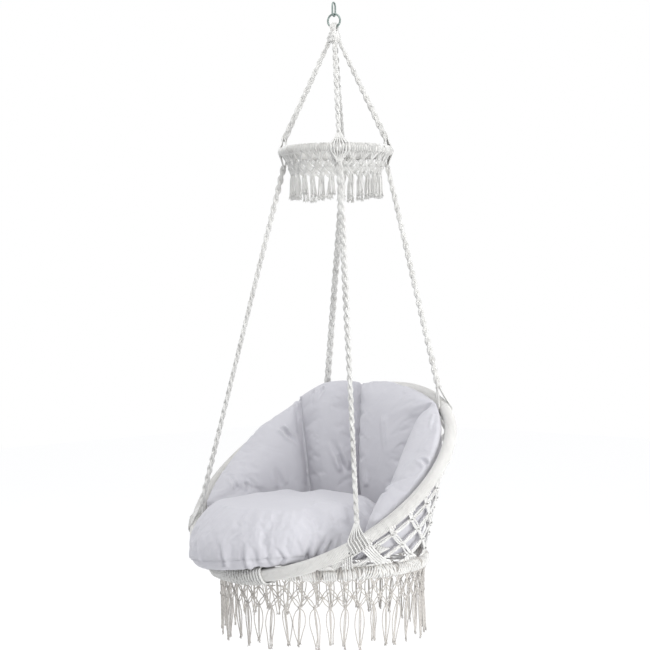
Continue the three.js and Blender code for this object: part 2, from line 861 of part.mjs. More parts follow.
// Widest reach of the seat cushion at a height, for what leans against it
function seatReachAt(height) {
  const share = (height - seatBottom) / seatHeight;
  if (share >= 1 || share < 0) {
    return share < 0 ? seatDiameter / 2 : 0;
  }
  let reach = 0;
  const table = [[0, 0], ...seatProfileShares.filter(([, high]) => high >= 0), [0, 1]];
  for (let i = 0; i + 1 < table.length; i += 1) {
    const [wide, high] = table[i];
    const [nextWide, nextHigh] = table[i + 1];
    if (high <= share && share <= nextHigh && nextHigh > high) {
      const mix = (share - high) / (nextHigh - high);
      reach = Math.max(reach, wide + mix * (nextWide - wide));
    }
  }
  return (reach * seatDiameter) / 2;
}

function clearOfSeat(p) {
  const away = Math.hypot(p.x, p.y + seatForward);
  return away > seatReachAt(p.z) + backSeatGap && away > seatReachAt(p.z - backSeatGap) + backSeatGap;
}

// Straight lines between the rows of a table of angles and shares
function fromTable(table, angle) {
  for (let i = 0; i + 1 < table.length; i += 1) {
    const [a, from] = table[i];
    const [b, to] = table[i + 1];
    if (angle <= b) {
      return from + ((to - from) * (angle - a)) / (b - a);
    }
  }
  return table[table.length - 1][1];
}

// Back cushion: sections across the bowl's wall, thinner at its seams, edges and tips
function backCushionSection(angle) {
  const { foot, length, rise } = wallAt(angle);
  const inward = rise.clone().cross(tangentAt(angle)).normalize();
  const tip = Math.min(angle - backFirstAngle, backLastAngle - angle);
  const tipShare = Math.sqrt(Math.min(1, (tip + backTipStart) / backTipTaper));
  const seam = Math.max(...backSeamAngles.map((at) => Math.exp(-(((angle - at) / backSeamWidth) ** 2))));
  const full = (backThickness - backSeamDepth * seam) * tipShare;
  const bottom = baseWrapRadius + backEdge / 2;
  const overRim = backOverRim + backRise * fromTable(backRiseShares, angle);
  const place = (height, depth) => (
    foot.clone().addScaledVector(rise, height).addScaledVector(inward, depth)
  );
  const inner = [];
  const outer = [];
  for (let i = 0; i <= backPointsAcross + 1; i += 1) {
    const below = Math.min(1, i / backPointsAcross);
    const height = bottom + below * (length - bottom) + (i > backPointsAcross ? overRim : 0);
    const share = (height - bottom) / (length + overRim - bottom);
    const crown = Math.sqrt(Math.sin(Math.PI * Math.min(Math.max(share, backRoundShare), 1 - backRoundShare)));
    const back = rimWrapRadius + touchGap + backLean * Math.max(0, height - length);
    const thin = backEdge * tipShare;
    const lowest = back + thin * backPinchShare;
    const seatStep = (full - thin * backPinchShare) / backSeatSteps;
    let depth = back + thin + (full - thin) * crown;
    while (depth > lowest + seatStep && !clearOfSeat(place(height, depth))) {
      depth -= seatStep;
    }
    inner.push(place(height, depth));
    outer.push(place(height, back));
  }
  return [...outer, ...inner.reverse()];
}

function backCushion() {
  const rings = [];
  for (let i = 0; i <= backSections; i += 1) {
    const angle = backFirstAngle + ((backLastAngle - backFirstAngle) * i) / backSections;
    rings.push(backCushionSection(angle));
  }
  return loft(rings);
}

// Assembly
addPiece('hanger_link', hangerLink(), zinc);
addPiece('steel_ring', steelRing(), zinc);
addPiece('rope_loops', ropeLoops(), cotton);
addPiece('gathering_knot', gatheringKnot(), cotton);
ropeNames.forEach((name, i) => {
  addPiece(`upper_rope_${name}`, upperRope(i), cotton);
  addPiece(`canopy_knot_${name}`, canopyKnot(i), cotton);
  addPiece(`lower_rope_${name}`, lowerRope(i), cotton);
  addPiece(`rim_lashing_${name}`, rimLashing(i), cotton);
});

const [canopyA, canopyB, canopyC, canopyD] = canopyRopeAngles;
const canopyHalf = canopyRing.step / 2;
addHoop('canopy', canopyRing, canopyTube, canopyWall, hoopSides);
addWraps('canopy', canopyRing, canopyTube, canopyWrapRadius, [
  ['left', canopyA + canopyHalf, canopyB - canopyHalf],
  ['back', canopyB + canopyHalf, canopyC - canopyHalf],
  ['right', canopyC + canopyHalf, canopyD - canopyHalf],
  ['front', canopyD + canopyHalf, canopyA + 360 - canopyHalf],
], hoopSides);
addFringe('canopy_fringe', {
  tassels: canopyTassels,
  rows: canopyFringeRows,
  tasselDrop: canopyTasselLength,
  size: canopyFringeKnot,
  thickness: fringeThickness,
  knotAt: canopyFringeKnotAt,
});

const [rimA, rimB, rimC, rimD] = rimRopeAngles;
const rimHalf = rimRing.step / 2;
addHoop('rim', rimRing, rimTube, rimWall, rimSides);
addWraps('rim', rimRing, rimTube, rimWrapRadius, [
  ['left', rimA + rimHalf, rimB - rimHalf],
  ['back', rimB + rimHalf, rimC - rimHalf],
  ['right', rimC + rimHalf, rimD - rimHalf],
  ['front', rimD + rimHalf, rimA + 360 - rimHalf],
], rimSides);

addHoop('base', baseRing, baseTube, baseWall, hoopSides);
addWraps('base', baseRing, baseTube, baseWrapRadius, [
  ['left', 45, 135],
  ['back', 135, 225],
  ['right', 225, 315],
  ['front', 315, 405],
], hoopSides);
addPiece('front_lashing', frontLashing(), cotton);
addFringe('base_fringe', {
  tassels: fringeTassels,
  rows: fringeRows,
  tasselDrop: tasselLength,
  size: fringeKnot,
  thickness: fringeThickness,
  knotAt: baseFringeKnot,
});

addBowlNet();
addPiece('seat_net', seatNet(), cotton);
addPiece('seat_cushion', seatCushion(), cushionCloth);
addPiece('back_cushion', backCushion(), cushionCloth);

export default chair;
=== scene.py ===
# %% [markdown]
# # A hanging macramé chair
# The chair hangs from one steel link. Four plaited ropes pass a small wrapped ring and end on a
# big tilted ring, the rim. A knotted net joins the rim to a level base ring and makes the bowl,
# a fringe hangs under the base ring, and two loose cushions lie inside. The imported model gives
# the places, and this script lays real cords, knots and sewn cushions over them.

# %% Load the frame and keep its box
import math

import bmesh
import bpy
import numpy as np
from mathutils import Matrix, Vector


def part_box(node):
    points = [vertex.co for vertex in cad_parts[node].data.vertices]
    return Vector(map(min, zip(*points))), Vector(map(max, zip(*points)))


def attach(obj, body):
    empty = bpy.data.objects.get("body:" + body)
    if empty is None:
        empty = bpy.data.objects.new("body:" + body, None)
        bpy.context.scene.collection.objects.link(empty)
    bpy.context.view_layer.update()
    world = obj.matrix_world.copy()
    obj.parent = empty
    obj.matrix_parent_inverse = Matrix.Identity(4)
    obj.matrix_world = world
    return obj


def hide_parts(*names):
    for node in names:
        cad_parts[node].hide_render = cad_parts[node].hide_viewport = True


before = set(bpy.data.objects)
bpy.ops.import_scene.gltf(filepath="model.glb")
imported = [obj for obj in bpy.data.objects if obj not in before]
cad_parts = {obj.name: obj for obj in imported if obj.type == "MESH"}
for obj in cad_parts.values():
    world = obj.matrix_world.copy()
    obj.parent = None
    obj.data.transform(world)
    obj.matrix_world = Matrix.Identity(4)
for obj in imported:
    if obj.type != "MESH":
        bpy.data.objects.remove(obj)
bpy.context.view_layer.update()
corner_names = ["front_left", "back_left", "back_right", "front_right"]

# %% [markdown]
# The photograph looks at the chair from the sitter's left front, almost level. The camera stands
# on a circle round the hanging point, and its height, aim and lens come from the level rings,
# which the photograph shows as thin ellipses. The small shift and roll are the photograph's own.

# %% Camera
view_bearing = math.radians(44.5)
view_distance = 4.629
camera_height = -0.801
camera_pitch = math.radians(-1.0)
camera_roll = math.radians(-0.8)

camera_data = bpy.data.cameras.new("studio_camera")
camera_data.sensor_width = 36
camera_data.lens = 93.2
camera_data.shift_x = -0.0203
camera = bpy.data.objects.new("studio_camera", camera_data)
bpy.context.scene.collection.objects.link(camera)
camera.location = (
    view_distance * math.sin(view_bearing),
    -view_distance * math.cos(view_bearing),
    camera_height,
)
look = Matrix.Rotation(view_bearing, 4, "Z") @ Matrix.Rotation(math.pi / 2 + camera_pitch, 4, "X")
camera.rotation_euler = (look @ Matrix.Rotation(camera_roll, 4, "Z")).to_euler()
bpy.context.scene.camera = camera
print("camera at", [round(value, 3) for value in camera.location])

# %% [markdown]
# The chair was photographed in a white room. The white behind it is only what the camera and the
# shiny steel see: Light Path swaps the world to plain white for those rays, while the light that
# falls on the chair stays low enough for pale cotton to keep its folds.

# %% World and lamps
scene = bpy.context.scene
scene.view_settings.view_transform = "Standard"
world = bpy.data.worlds.new("studio_world")
scene.world = world
world.use_nodes = True
world_nodes = world.node_tree.nodes
world_links = world.node_tree.links
background = world_nodes["Background"]
background.inputs["Color"].default_value = (0.93, 0.95, 1.0, 1)
background.inputs["Strength"].default_value = 0.55
white = world_nodes.new("ShaderNodeBackground")
white.inputs["Color"].default_value = (1, 1, 1, 1)
white.inputs["Strength"].default_value = 1.0
path = world_nodes.new("ShaderNodeLightPath")
seen = world_nodes.new("ShaderNodeMath")
seen.operation = "MAXIMUM"
world_links.new(path.outputs["Is Camera Ray"], seen.inputs[0])
world_links.new(path.outputs["Is Glossy Ray"], seen.inputs[1])
seen_through = world_nodes.new("ShaderNodeMath")
seen_through.operation = "MAXIMUM"
world_links.new(seen.outputs[0], seen_through.inputs[0])
world_links.new(path.outputs["Is Transmission Ray"], seen_through.inputs[1])
swap = world_nodes.new("ShaderNodeMixShader")
world_links.new(seen_through.outputs[0], swap.inputs[0])
world_links.new(background.outputs[0], swap.inputs[1])
world_links.new(white.outputs[0], swap.inputs[2])
world_links.new(swap.outputs[0], world_nodes["World Output"].inputs["Surface"])


def add_softbox(name, place, aim, width, power):
    """A square lamp that looks at a point."""
    lamp = bpy.data.lights.new(name, "AREA")
    lamp.shape = "SQUARE"
    lamp.size = width
    lamp.energy = power
    holder = bpy.data.objects.new(name, lamp)
    scene.collection.objects.link(holder)
    holder.location = place
    holder.rotation_euler = (Vector(aim) - Vector(place)).to_track_quat("-Z", "Y").to_euler()


chair_middle = (0, -0.05, -1.2)
softboxes = {
    "softbox_high": ((0.4, -1.0, 1.9), 2.2, 34),
    "softbox_front": ((3.0, -2.2, 2.2), 1.8, 70),
    "softbox_right": ((3.8, 0.3, -1.7), 1.8, 94),
    "softbox_left": ((-3.2, -1.2, 1.3), 1.6, 34),
    "softbox_back": ((-0.6, 3.4, 0.6), 2.0, 22),
}
for name, (place, width, power) in softboxes.items():
    add_softbox(name, place, chair_middle, width, power)
print("softboxes:", len(softboxes), "with", sum(row[2] for row in softboxes.values()), "watts")

# %% [markdown]
# The floor is a pale sheet a little under the tassels. It looks white to the camera through the
# same Light Path trick, mixed so that the chair's soft shadow still shows on it.

# %% Floor
floor_height = -2.08
floor_reach = 9.0
floor_glow_strength = 1.17
floor_glow_share = 0.72


def plain_material(name):
    material = bpy.data.materials.new(name)
    material.use_nodes = True
    return material, material.node_tree.nodes, material.node_tree.links


floor_mesh = bmesh.new()
bmesh.ops.create_grid(floor_mesh, x_segments=1, y_segments=1, size=floor_reach)
bmesh.ops.translate(floor_mesh, verts=floor_mesh.verts, vec=(0, 0, floor_height))
floor_data = bpy.data.meshes.new("floor")
floor_mesh.to_mesh(floor_data)
floor_mesh.free()
floor = bpy.data.objects.new("floor", floor_data)
scene.collection.objects.link(floor)
floor_paint, nodes, links = plain_material("floor_paint")
nodes["Principled BSDF"].inputs["Base Color"].default_value = (0.92, 0.92, 0.92, 1)
nodes["Principled BSDF"].inputs["Roughness"].default_value = 0.9
floor_glow = nodes.new("ShaderNodeEmission")
floor_glow.inputs["Color"].default_value = (1, 1, 1, 1)
floor_glow.inputs["Strength"].default_value = floor_glow_strength
floor_path = nodes.new("ShaderNodeLightPath")
glow_share = nodes.new("ShaderNodeMath")
glow_share.operation = "MULTIPLY"
glow_share.inputs[1].default_value = floor_glow_share
links.new(floor_path.outputs["Is Camera Ray"], glow_share.inputs[0])
floor_mix = nodes.new("ShaderNodeMixShader")
links.new(glow_share.outputs[0], floor_mix.inputs[0])
links.new(nodes["Principled BSDF"].outputs[0], floor_mix.inputs[1])
links.new(floor_glow.outputs[0], floor_mix.inputs[2])
links.new(floor_mix.outputs[0], nodes["Material Output"].inputs["Surface"])
floor_data.materials.append(floor_paint)
print("floor", -floor_height, "m below the hanging point")

# %% [markdown]
# Cotton cord is yarn twisted from three plies, with a soft fuzz of fibres. The plies run as
# slanting ridges, so the pattern has to follow each cord: its UV map counts metres along the cord
# and turns round it. One node group turns that into a height and into a painted shade for the
# grooves between the plies, and every cotton material uses it.

# %% Node group for twisted yarn


def add_socket(group, name, kind, in_out, value=None):
    socket = group.interface.new_socket(name=name, in_out=in_out, socket_type=kind)
    if value is not None:
        socket.default_value = value
    return socket


def new_node(tree, kind, **settings):
    node = tree.nodes.new(kind)
    for name, value in settings.items():
        setattr(node, name, value)
    return node


def math_node(tree, operation, first, second=None):
    """A Math node fed by sockets or plain numbers."""
    node = new_node(tree, "ShaderNodeMath", operation=operation)
    for slot, value in zip(node.inputs, (first, second)):
        if value is None:
            continue
        if isinstance(value, (int, float)):
            slot.default_value = value
        else:
            tree.links.new(value, slot)
    return node.outputs[0]


def noise_node(tree, scale, detail=2.0):
    """A Noise texture that reads the object's own coordinates."""
    place = new_node(tree, "ShaderNodeTexCoord")
    noise = new_node(tree, "ShaderNodeTexNoise")
    noise.inputs["Scale"].default_value = scale
    noise.inputs["Detail"].default_value = detail
    tree.links.new(place.outputs["Object"], noise.inputs["Vector"])
    return noise


def ramp_node(tree, factor, low, high):
    """A colour ramp from low to high, fed by a socket."""
    ramp = new_node(tree, "ShaderNodeValToRGB")
    ramp.color_ramp.elements[0].color = (*low, 1)
    ramp.color_ramp.elements[1].color = (*high, 1)
    tree.links.new(factor, ramp.inputs[0])
    return ramp


def bump_node(tree, height, strength, distance):
    bump = new_node(tree, "ShaderNodeBump")
    bump.inputs["Strength"].default_value = strength
    bump.inputs["Distance"].default_value = distance
    tree.links.new(height, bump.inputs["Height"])
    return bump


plies_per_cord = 3.0
ply_relief = 0.35
yarn = bpy.data.node_groups.new("twisted_yarn", "ShaderNodeTree")
add_socket(yarn, "Twists per Metre", "NodeSocketFloat", "INPUT", 90.0)
add_socket(yarn, "Fibre Scale", "NodeSocketFloat", "INPUT", 900.0)
add_socket(yarn, "Height", "NodeSocketFloat", "OUTPUT")
add_socket(yarn, "Shade", "NodeSocketFloat", "OUTPUT")
yarn_in = new_node(yarn, "NodeGroupInput")
yarn_out = new_node(yarn, "NodeGroupOutput")
cord_uv = new_node(yarn, "ShaderNodeUVMap", uv_map="UVMap")
cord_split = new_node(yarn, "ShaderNodeSeparateXYZ")
yarn.links.new(cord_uv.outputs[0], cord_split.inputs[0])
yarn_twists = yarn_in.outputs["Twists per Metre"]
twist_along = math_node(yarn, "MULTIPLY", cord_split.outputs[0], yarn_twists)
ply_turn = math_node(yarn, "MULTIPLY_ADD", cord_split.outputs[1], plies_per_cord)
yarn.links.new(twist_along, ply_turn.node.inputs[2])
ply_wave = math_node(yarn, "SINE", math_node(yarn, "MULTIPLY", ply_turn, math.tau))
fibres = noise_node(yarn, 900.0, 3.0)
yarn.links.new(yarn_in.outputs["Fibre Scale"], fibres.inputs["Scale"])
ply_height = math_node(yarn, "MULTIPLY", ply_wave, ply_relief)
height_sum = math_node(yarn, "ADD", ply_height, fibres.outputs[0])
yarn.links.new(height_sum, yarn_out.inputs["Height"])
# The Shade output is painted shade: 0 in the grooves between the plies, 1 on their crests.
ply_shade = math_node(yarn, "MULTIPLY", math_node(yarn, "ADD", ply_wave, 1.0), 0.5)
yarn.links.new(ply_shade, yarn_out.inputs["Shade"])


shade_share = 0.45


def cotton_material(name, light, groove_shade, twists, depth):
    """Off-white cotton cord: lighter on the plies, with painted shade, darker and warmer, in the
    grooves between them.
    """
    material, nodes, links = plain_material(name)
    tree = material.node_tree
    shader = nodes["Principled BSDF"]
    shader.inputs["Roughness"].default_value = 0.92
    shader.inputs["Sheen Weight"].default_value = 0.25
    shader.inputs["Sheen Roughness"].default_value = 0.5
    shader.inputs["Specular IOR Level"].default_value = 0.2
    group = new_node(tree, "ShaderNodeGroup", node_tree=yarn)
    group.inputs["Twists per Metre"].default_value = twists
    tint = noise_node(tree, 18.0)
    # Painted shade: the ramp darkens the cord's colour in the grooves between the plies.
    blend = math_node(tree, "MULTIPLY_ADD", group.outputs["Shade"], shade_share)
    links.new(tint.outputs[0], blend.node.inputs[2])
    ramp = ramp_node(tree, blend, groove_shade, light)
    ramp.color_ramp.elements[0].position = 0.05
    ramp.color_ramp.elements[1].position = 0.75
    links.new(ramp.outputs[0], shader.inputs["Base Color"])
    bump = bump_node(tree, group.outputs["Height"], 0.6, depth)
    links.new(bump.outputs[0], shader.inputs["Normal"])
    return material


# Ply colour, painted groove shade colour, twists per metre and depth of the plies.
cottons = {
    "net_cotton": ((0.85, 0.845, 0.82), (0.50, 0.48, 0.45), 70.0, 0.0006),
    "rope_cotton": ((0.77, 0.765, 0.74), (0.36, 0.345, 0.32), 45.0, 0.0007),
    # The fringe's cotton is darker all over: partly the cord's own warmer grey, partly painted
    # self-shadow of its thin, close cords.
    "shaded_fringe_cotton": ((0.66, 0.63, 0.59), (0.235, 0.21, 0.185), 85.0, 0.0005),
    "wrap_cotton": ((0.73, 0.72, 0.695), (0.60, 0.59, 0.56), 85.0, 0.0004),
}
net_cotton, rope_cotton, shaded_fringe_cotton, wrap_cotton = (
    cotton_material(name, *recipe) for name, recipe in cottons.items()
)
print("cotton finishes:", ", ".join(cottons))

# %% [markdown]
# The cushions are covered in a fine plain weave. It is far too small to model, so crossed waves on
# the object's own coordinates give the threads. One broad noise gives the faint mottling of the
# cloth's colour, and another, as a soft bump, the small crinkles of loosely filled cloth.

# %% Node group for woven cloth and the cushion material
weave = bpy.data.node_groups.new("plain_weave", "ShaderNodeTree")
add_socket(weave, "Threads per Metre", "NodeSocketFloat", "INPUT", 900.0)
add_socket(weave, "Height", "NodeSocketFloat", "OUTPUT")
weave_in = new_node(weave, "NodeGroupInput")
weave_out = new_node(weave, "NodeGroupOutput")
cloth_place = new_node(weave, "ShaderNodeTexCoord")
cloth_split = new_node(weave, "ShaderNodeSeparateXYZ")
weave.links.new(cloth_place.outputs["Object"], cloth_split.inputs[0])
thread_waves = []
for axis in range(3):
    phase = math_node(weave, "MULTIPLY", cloth_split.outputs[axis], weave_in.outputs[0])
    thread_waves.append(math_node(weave, "SINE", math_node(weave, "MULTIPLY", phase, math.pi)))
warp = math_node(weave, "MULTIPLY", thread_waves[0], thread_waves[1])
level_waves = math_node(weave, "ADD", thread_waves[0], thread_waves[1])
weft = math_node(weave, "MULTIPLY", thread_waves[2], level_waves)
weave.links.new(math_node(weave, "ADD", warp, weft), weave_out.inputs["Height"])

cushion_cloth, nodes, links = plain_material("cushion_cloth")
cloth_tree = cushion_cloth.node_tree
cloth_shader = nodes["Principled BSDF"]
cloth_shader.inputs["Roughness"].default_value = 0.88
cloth_shader.inputs["Sheen Weight"].default_value = 0.2
cloth_shader.inputs["Specular IOR Level"].default_value = 0.25
cloth_group = new_node(cloth_tree, "ShaderNodeGroup", node_tree=weave)
cloth_mottle = noise_node(cloth_tree, 9.0, 4.0)
cloth_ramp = ramp_node(
    cloth_tree, cloth_mottle.outputs[0], (0.575, 0.568, 0.598), (0.615, 0.608, 0.638)
)
links.new(cloth_ramp.outputs[0], cloth_shader.inputs["Base Color"])
cloth_crinkle = noise_node(cloth_tree, 13.0, 3.0)
cloth_crinkle.inputs["Roughness"].default_value = 0.55
cloth_crinkle.inputs["Distortion"].default_value = 0.8
crinkle_bump = bump_node(cloth_tree, cloth_crinkle.outputs[0], 0.45, 0.006)
cloth_bump = bump_node(cloth_tree, cloth_group.outputs["Height"], 0.25, 0.0003)
links.new(crinkle_bump.outputs[0], cloth_bump.inputs["Normal"])
links.new(cloth_bump.outputs[0], cloth_shader.inputs["Normal"])
print("cushion cloth:", len(nodes), "nodes")

# %% [markdown]
# The link and the ring are zinc-plated steel. Zinc plate is dull and a little green, with faint
# cloudy crystals, so the roughness and the colour vary softly and the metal stays full.

# %% Zinc plate and bare tube


def metal_material(name, low, high, rough_low, rough_high, metallic):
    material, nodes, links = plain_material(name)
    tree = material.node_tree
    shader = nodes["Principled BSDF"]
    shader.inputs["Metallic"].default_value = metallic
    cloud = noise_node(tree, 160.0, 5.0)
    ramp = ramp_node(tree, cloud.outputs[0], low, high)
    links.new(ramp.outputs[0], shader.inputs["Base Color"])
    rough = new_node(tree, "ShaderNodeMapRange")
    rough.inputs["To Min"].default_value = rough_low
    rough.inputs["To Max"].default_value = rough_high
    links.new(cloud.outputs[0], rough.inputs["Value"])
    links.new(rough.outputs[0], shader.inputs["Roughness"])
    bump = bump_node(tree, cloud.outputs[0], 0.15, 0.0002)
    links.new(bump.outputs[0], shader.inputs["Normal"])
    return material


zinc_plate = metal_material("zinc_plate", (0.16, 0.2, 0.19), (0.3, 0.35, 0.33), 0.3, 0.5, 1.0)
tube_paint = metal_material("tube_paint", (0.42, 0.44, 0.45), (0.52, 0.54, 0.55), 0.45, 0.6, 0.6)
print("metal finishes:", zinc_plate.name, "and", tube_paint.name)

# %% [markdown]
# The three rings carry everything, so one small class holds a ring's centreline. An angle counts
# in degrees from the front of the chair towards the sitter's left. The sizes repeat the packed
# model's, and each ring's own box in the frame is printed beside them as a check.

# %% Centrelines of the three rings


def unit(vector):
    return vector / np.linalg.norm(vector)


class Ring:
    def __init__(self, radius, wrap_radius, centre, tilt=0.0):
        self.radius = radius
        self.wrap_radius = wrap_radius
        self.centre = np.array(centre, float)
        self.slope = math.radians(tilt)
        self.axis = np.array((0, -math.sin(self.slope), math.cos(self.slope)))

    def radial(self, angle):
        turn = math.radians(angle)
        back = -math.cos(turn)
        return np.array((math.sin(turn), back * math.cos(self.slope), back * math.sin(self.slope)))

    def point(self, angle):
        return self.centre + self.radial(angle) * self.radius

    def along(self, angle):
        return unit(np.cross(self.axis, self.radial(angle)))

    def degrees_for(self, length):
        return math.degrees(length / self.radius)


canopy_ring = Ring(0.1431, 0.0114, (0, 0, -0.406))
rim_ring = Ring(0.3832, 0.0168, (0, -0.075, -1.293), 36.5)
base_ring = Ring(0.2747, 0.0153, (0, -0.075, -1.515))
canopy_rope_angles = [48, 144, 216, 312]
rim_rope_angles = [54, 144, 216, 306]
for name, ring in (("canopy", canopy_ring), ("rim", rim_ring), ("base", base_ring)):
    low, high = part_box(f"{name}_hoop")
    half_width = (high[0] - low[0]) / 2
    print(name, "centreline", ring.radius, "hoop half width", round(half_width, 4))

# %% [markdown]
# Nearly everything here is cord, and a cord is a tube swept along a run of points. The helper keeps
# a frame that doesn't spin as it walks along the run, and writes a UV map whose first number is
# the length in metres, so that the yarn's twist has one pitch on every cord. Many cords go into
# one mesh, because a knotted net is one piece. A run's fourth column, where it has one, is the
# share of the radius at that point.

# %% Helper that lays cords
any_direction = (0.36, 0.48, 0.8)


class Cords:
    def __init__(self):
        self.points = []
        self.corners = []
        self.sizes = []
        self.uvs = []
        self.count = 0

    def lay(self, run, radius, sides=6, plies=0, groove=0.3, twist=0.0, closed=False):
        """One closed tube. plies gives the outline bulges, and twist turns them, per metre."""
        run = np.asarray(run, float)
        places = run[:, :3]
        shares = run[:, 3] if run.shape[1] > 3 else np.ones(len(run))
        if closed:
            ahead = np.roll(places, -1, 0) - np.roll(places, 1, 0)
            ends = np.vstack([places, places[:1]])
        else:
            ahead = np.gradient(places, axis=0)
            ends = places
        tangents = ahead / np.linalg.norm(ahead, axis=1)[:, None]
        normal = np.cross(tangents[0], any_direction)
        normals = np.empty_like(places)
        for i, tangent in enumerate(tangents):
            normal = normal - tangent * (normal @ tangent)
            normal = normal / math.sqrt(normal @ normal)
            normals[i] = normal
        sideways = np.cross(tangents, normals)
        lengths = np.concatenate([[0], np.cumsum(np.linalg.norm(np.diff(ends, axis=0), axis=1))])

        around = np.arange(sides) * math.tau / sides
        outline = 1 - groove * (1 - np.abs(np.cos(plies * around / 2))) if plies else np.ones(sides)
        turns = around[None] + math.tau * twist * lengths[: len(places), None]
        reach = radius * shares[:, None] * outline[None]
        skin = places[:, None] + normals[:, None] * (reach * np.cos(turns))[..., None]
        skin = skin + sideways[:, None] * (reach * np.sin(turns))[..., None]
        self.points.append(skin.reshape(-1, 3))

        grid = self.count + np.arange(len(places) * sides).reshape(len(places), sides)
        here = grid if closed else grid[:-1]
        beyond = np.roll(grid, -1, 0) if closed else grid[1:]
        quads = np.stack([here, np.roll(here, -1, 1), np.roll(beyond, -1, 1), beyond], axis=-1)
        self.corners.append(quads.ravel())
        self.sizes.append(np.full(len(here) * sides, 4))
        uv = np.empty((len(here), sides, 4, 2))
        uv[:, :, :2, 0] = lengths[:-1, None, None]
        uv[:, :, 2:, 0] = lengths[1:, None, None]
        uv[:, :, 0, 1] = uv[:, :, 3, 1] = np.arange(sides) / sides
        uv[:, :, 1, 1] = uv[:, :, 2, 1] = (np.arange(sides) + 1) / sides
        self.uvs.append(uv.reshape(-1, 2))
        if not closed:
            for cap, along in ((grid[0][::-1], 0.0), (grid[-1], lengths[-1])):
                self.corners.append(cap)
                self.sizes.append(np.array([sides]))
                self.uvs.append(np.tile((along, 0.0), (sides, 1)))
        self.count += len(places) * sides

    def mesh(self, name):
        """All the cords laid so far, as one mesh."""
        mesh = bpy.data.meshes.new(name)
        points = np.concatenate(self.points)
        corners = np.concatenate(self.corners).astype(np.int32)
        sizes = np.concatenate(self.sizes)
        starts = np.concatenate([[0], np.cumsum(sizes)[:-1]]).astype(np.int32)
        mesh.vertices.add(len(points))
        mesh.vertices.foreach_set("co", points.ravel())
        mesh.loops.add(len(corners))
        mesh.loops.foreach_set("vertex_index", corners)
        mesh.polygons.add(len(sizes))
        mesh.polygons.foreach_set("loop_start", starts)
        mesh.update(calc_edges=True)
        mesh.uv_layers.new(name="UVMap").data.foreach_set("uv", np.concatenate(self.uvs).ravel())
        return mesh


# %% [markdown]
# A cord's path is given by a few places, and a smooth curve is drawn through them. A finished mesh
# becomes a piece: it gets its material, rides on one body of the imported model, takes a name
# and stands in for the plain solids that it replaces.

# %% Helpers that smooth a run and add a piece


def curved(points, steps):
    """A smooth run through a few points."""
    p = np.asarray(points, float)
    p = np.vstack([2 * p[0] - p[1], p, 2 * p[-1] - p[-2]])
    t = (np.arange(steps) / steps)[:, None]
    parts = []
    for a, b, c, d in zip(p, p[1:], p[2:], p[3:]):
        bend = (2 * a - 5 * b + 4 * c - d) * t**2 + (3 * b - a - 3 * c + d) * t**3
        parts.append((2 * b + (c - a) * t + bend) / 2)
    return np.vstack(parts + [p[-2:-1]])


triangle_total = 0


def add_piece(name, mesh, material, replaces=(), body="chair"):
    """Links a mesh as a smooth piece that rides on a body and stands for its CAD nodes."""
    global triangle_total
    mesh.name = name
    mesh.materials.clear()
    mesh.materials.append(material)
    mesh.shade_smooth()
    piece = bpy.data.objects.new(name, mesh)
    scene.collection.objects.link(piece)
    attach(piece, body)
    if replaces:
        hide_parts(*replaces)
    triangles = sum(len(face.vertices) - 2 for face in mesh.polygons)
    triangle_total += triangles
    print(f"{name}: {triangles} triangles, {triangle_total} so far")
    return piece


def signed_volume(mesh):
    """The volume inside a closed mesh. It is negative where the faces point inwards."""
    shell = bmesh.new()
    shell.from_mesh(mesh)
    volume = shell.calc_volume(signed=True)
    shell.free()
    return volume


trial = Cords()
trial.lay(curved([(0, 0, 0), (0, 0, 0.1), (0, 0.02, 0.2)], 4), 0.002)
trial_mesh = trial.mesh("trial")
print("a test cord holds", round(signed_volume(trial_mesh) * 1e6, 3), "cubic centimetres")
bpy.data.meshes.remove(trial_mesh)

# %% [markdown]
# The steel link and the ring are bent wire, welded shut, so each is one closed tube. The link
# stands square to the ring and hangs from the hook above.

# %% Hanger link and steel ring
ring_turn = math.radians(20)
ring_normal = np.array((math.sin(ring_turn), -math.cos(ring_turn), 0))
ring_across = np.array((math.cos(ring_turn), math.sin(ring_turn), 0))
upward = np.array((0.0, 0.0, 1.0))
link_wire, link_bend, link_bend_steps = 0.0025, 0.0095, 16
link_upper_bend, link_lower_bend = -0.007, -0.025
ring_wire, ring_bend, ring_bend_steps = 0.00275, 0.01825, 64
ring_middle = -0.04715
wire_sides = 16

link_run = []
for middle, start in ((link_upper_bend, 0.0), (link_lower_bend, math.pi)):
    for i in range(link_bend_steps + 1):
        turn = start + math.pi * i / link_bend_steps
        aside = ring_normal * link_bend * math.cos(turn)
        link_run.append(aside + upward * (middle + link_bend * math.sin(turn)))
link = Cords()
link.lay(link_run, link_wire, sides=wire_sides, closed=True)
link_mesh = link.mesh("link")
add_piece("hanger_link_steel", link_mesh, zinc_plate, ["hanger_link"], "hanger")

ring_run = []
for turn in np.arange(ring_bend_steps) * math.tau / ring_bend_steps:
    aside = ring_across * ring_bend * math.cos(turn)
    ring_run.append(aside + upward * (ring_middle + ring_bend * math.sin(turn)))
o_ring = Cords()
o_ring.lay(ring_run, ring_wire, sides=wire_sides, closed=True)
ring_mesh = o_ring.mesh("o_ring")
add_piece("steel_ring_round", ring_mesh, zinc_plate, ["steel_ring"], "ring")

# %% [markdown]
# Under the ring the ropes are folded over its lower wire: a layer of cords side by side, and two
# thick strands that cross over them. Three heavy turns gather everything below, and each turn is
# three cords wide and a little slanted, so the knot looks tied and not turned on a lathe.

# %% Rope loops and gathering knot
luck = np.random.default_rng(7)
swing_height = -0.06407
knot_top = -0.0781
knot_bottom = -0.1051
fold_cord, fold_reach, fold_pitch = 0.002, 0.0072, 0.0039
strand_cord, strand_reach, strand_pitch = 0.0019, 0.0108, 0.0016
strand_crossings = ((-0.0068, 0.0055), (0.0068, -0.0055), (-0.0005, 0.0005))


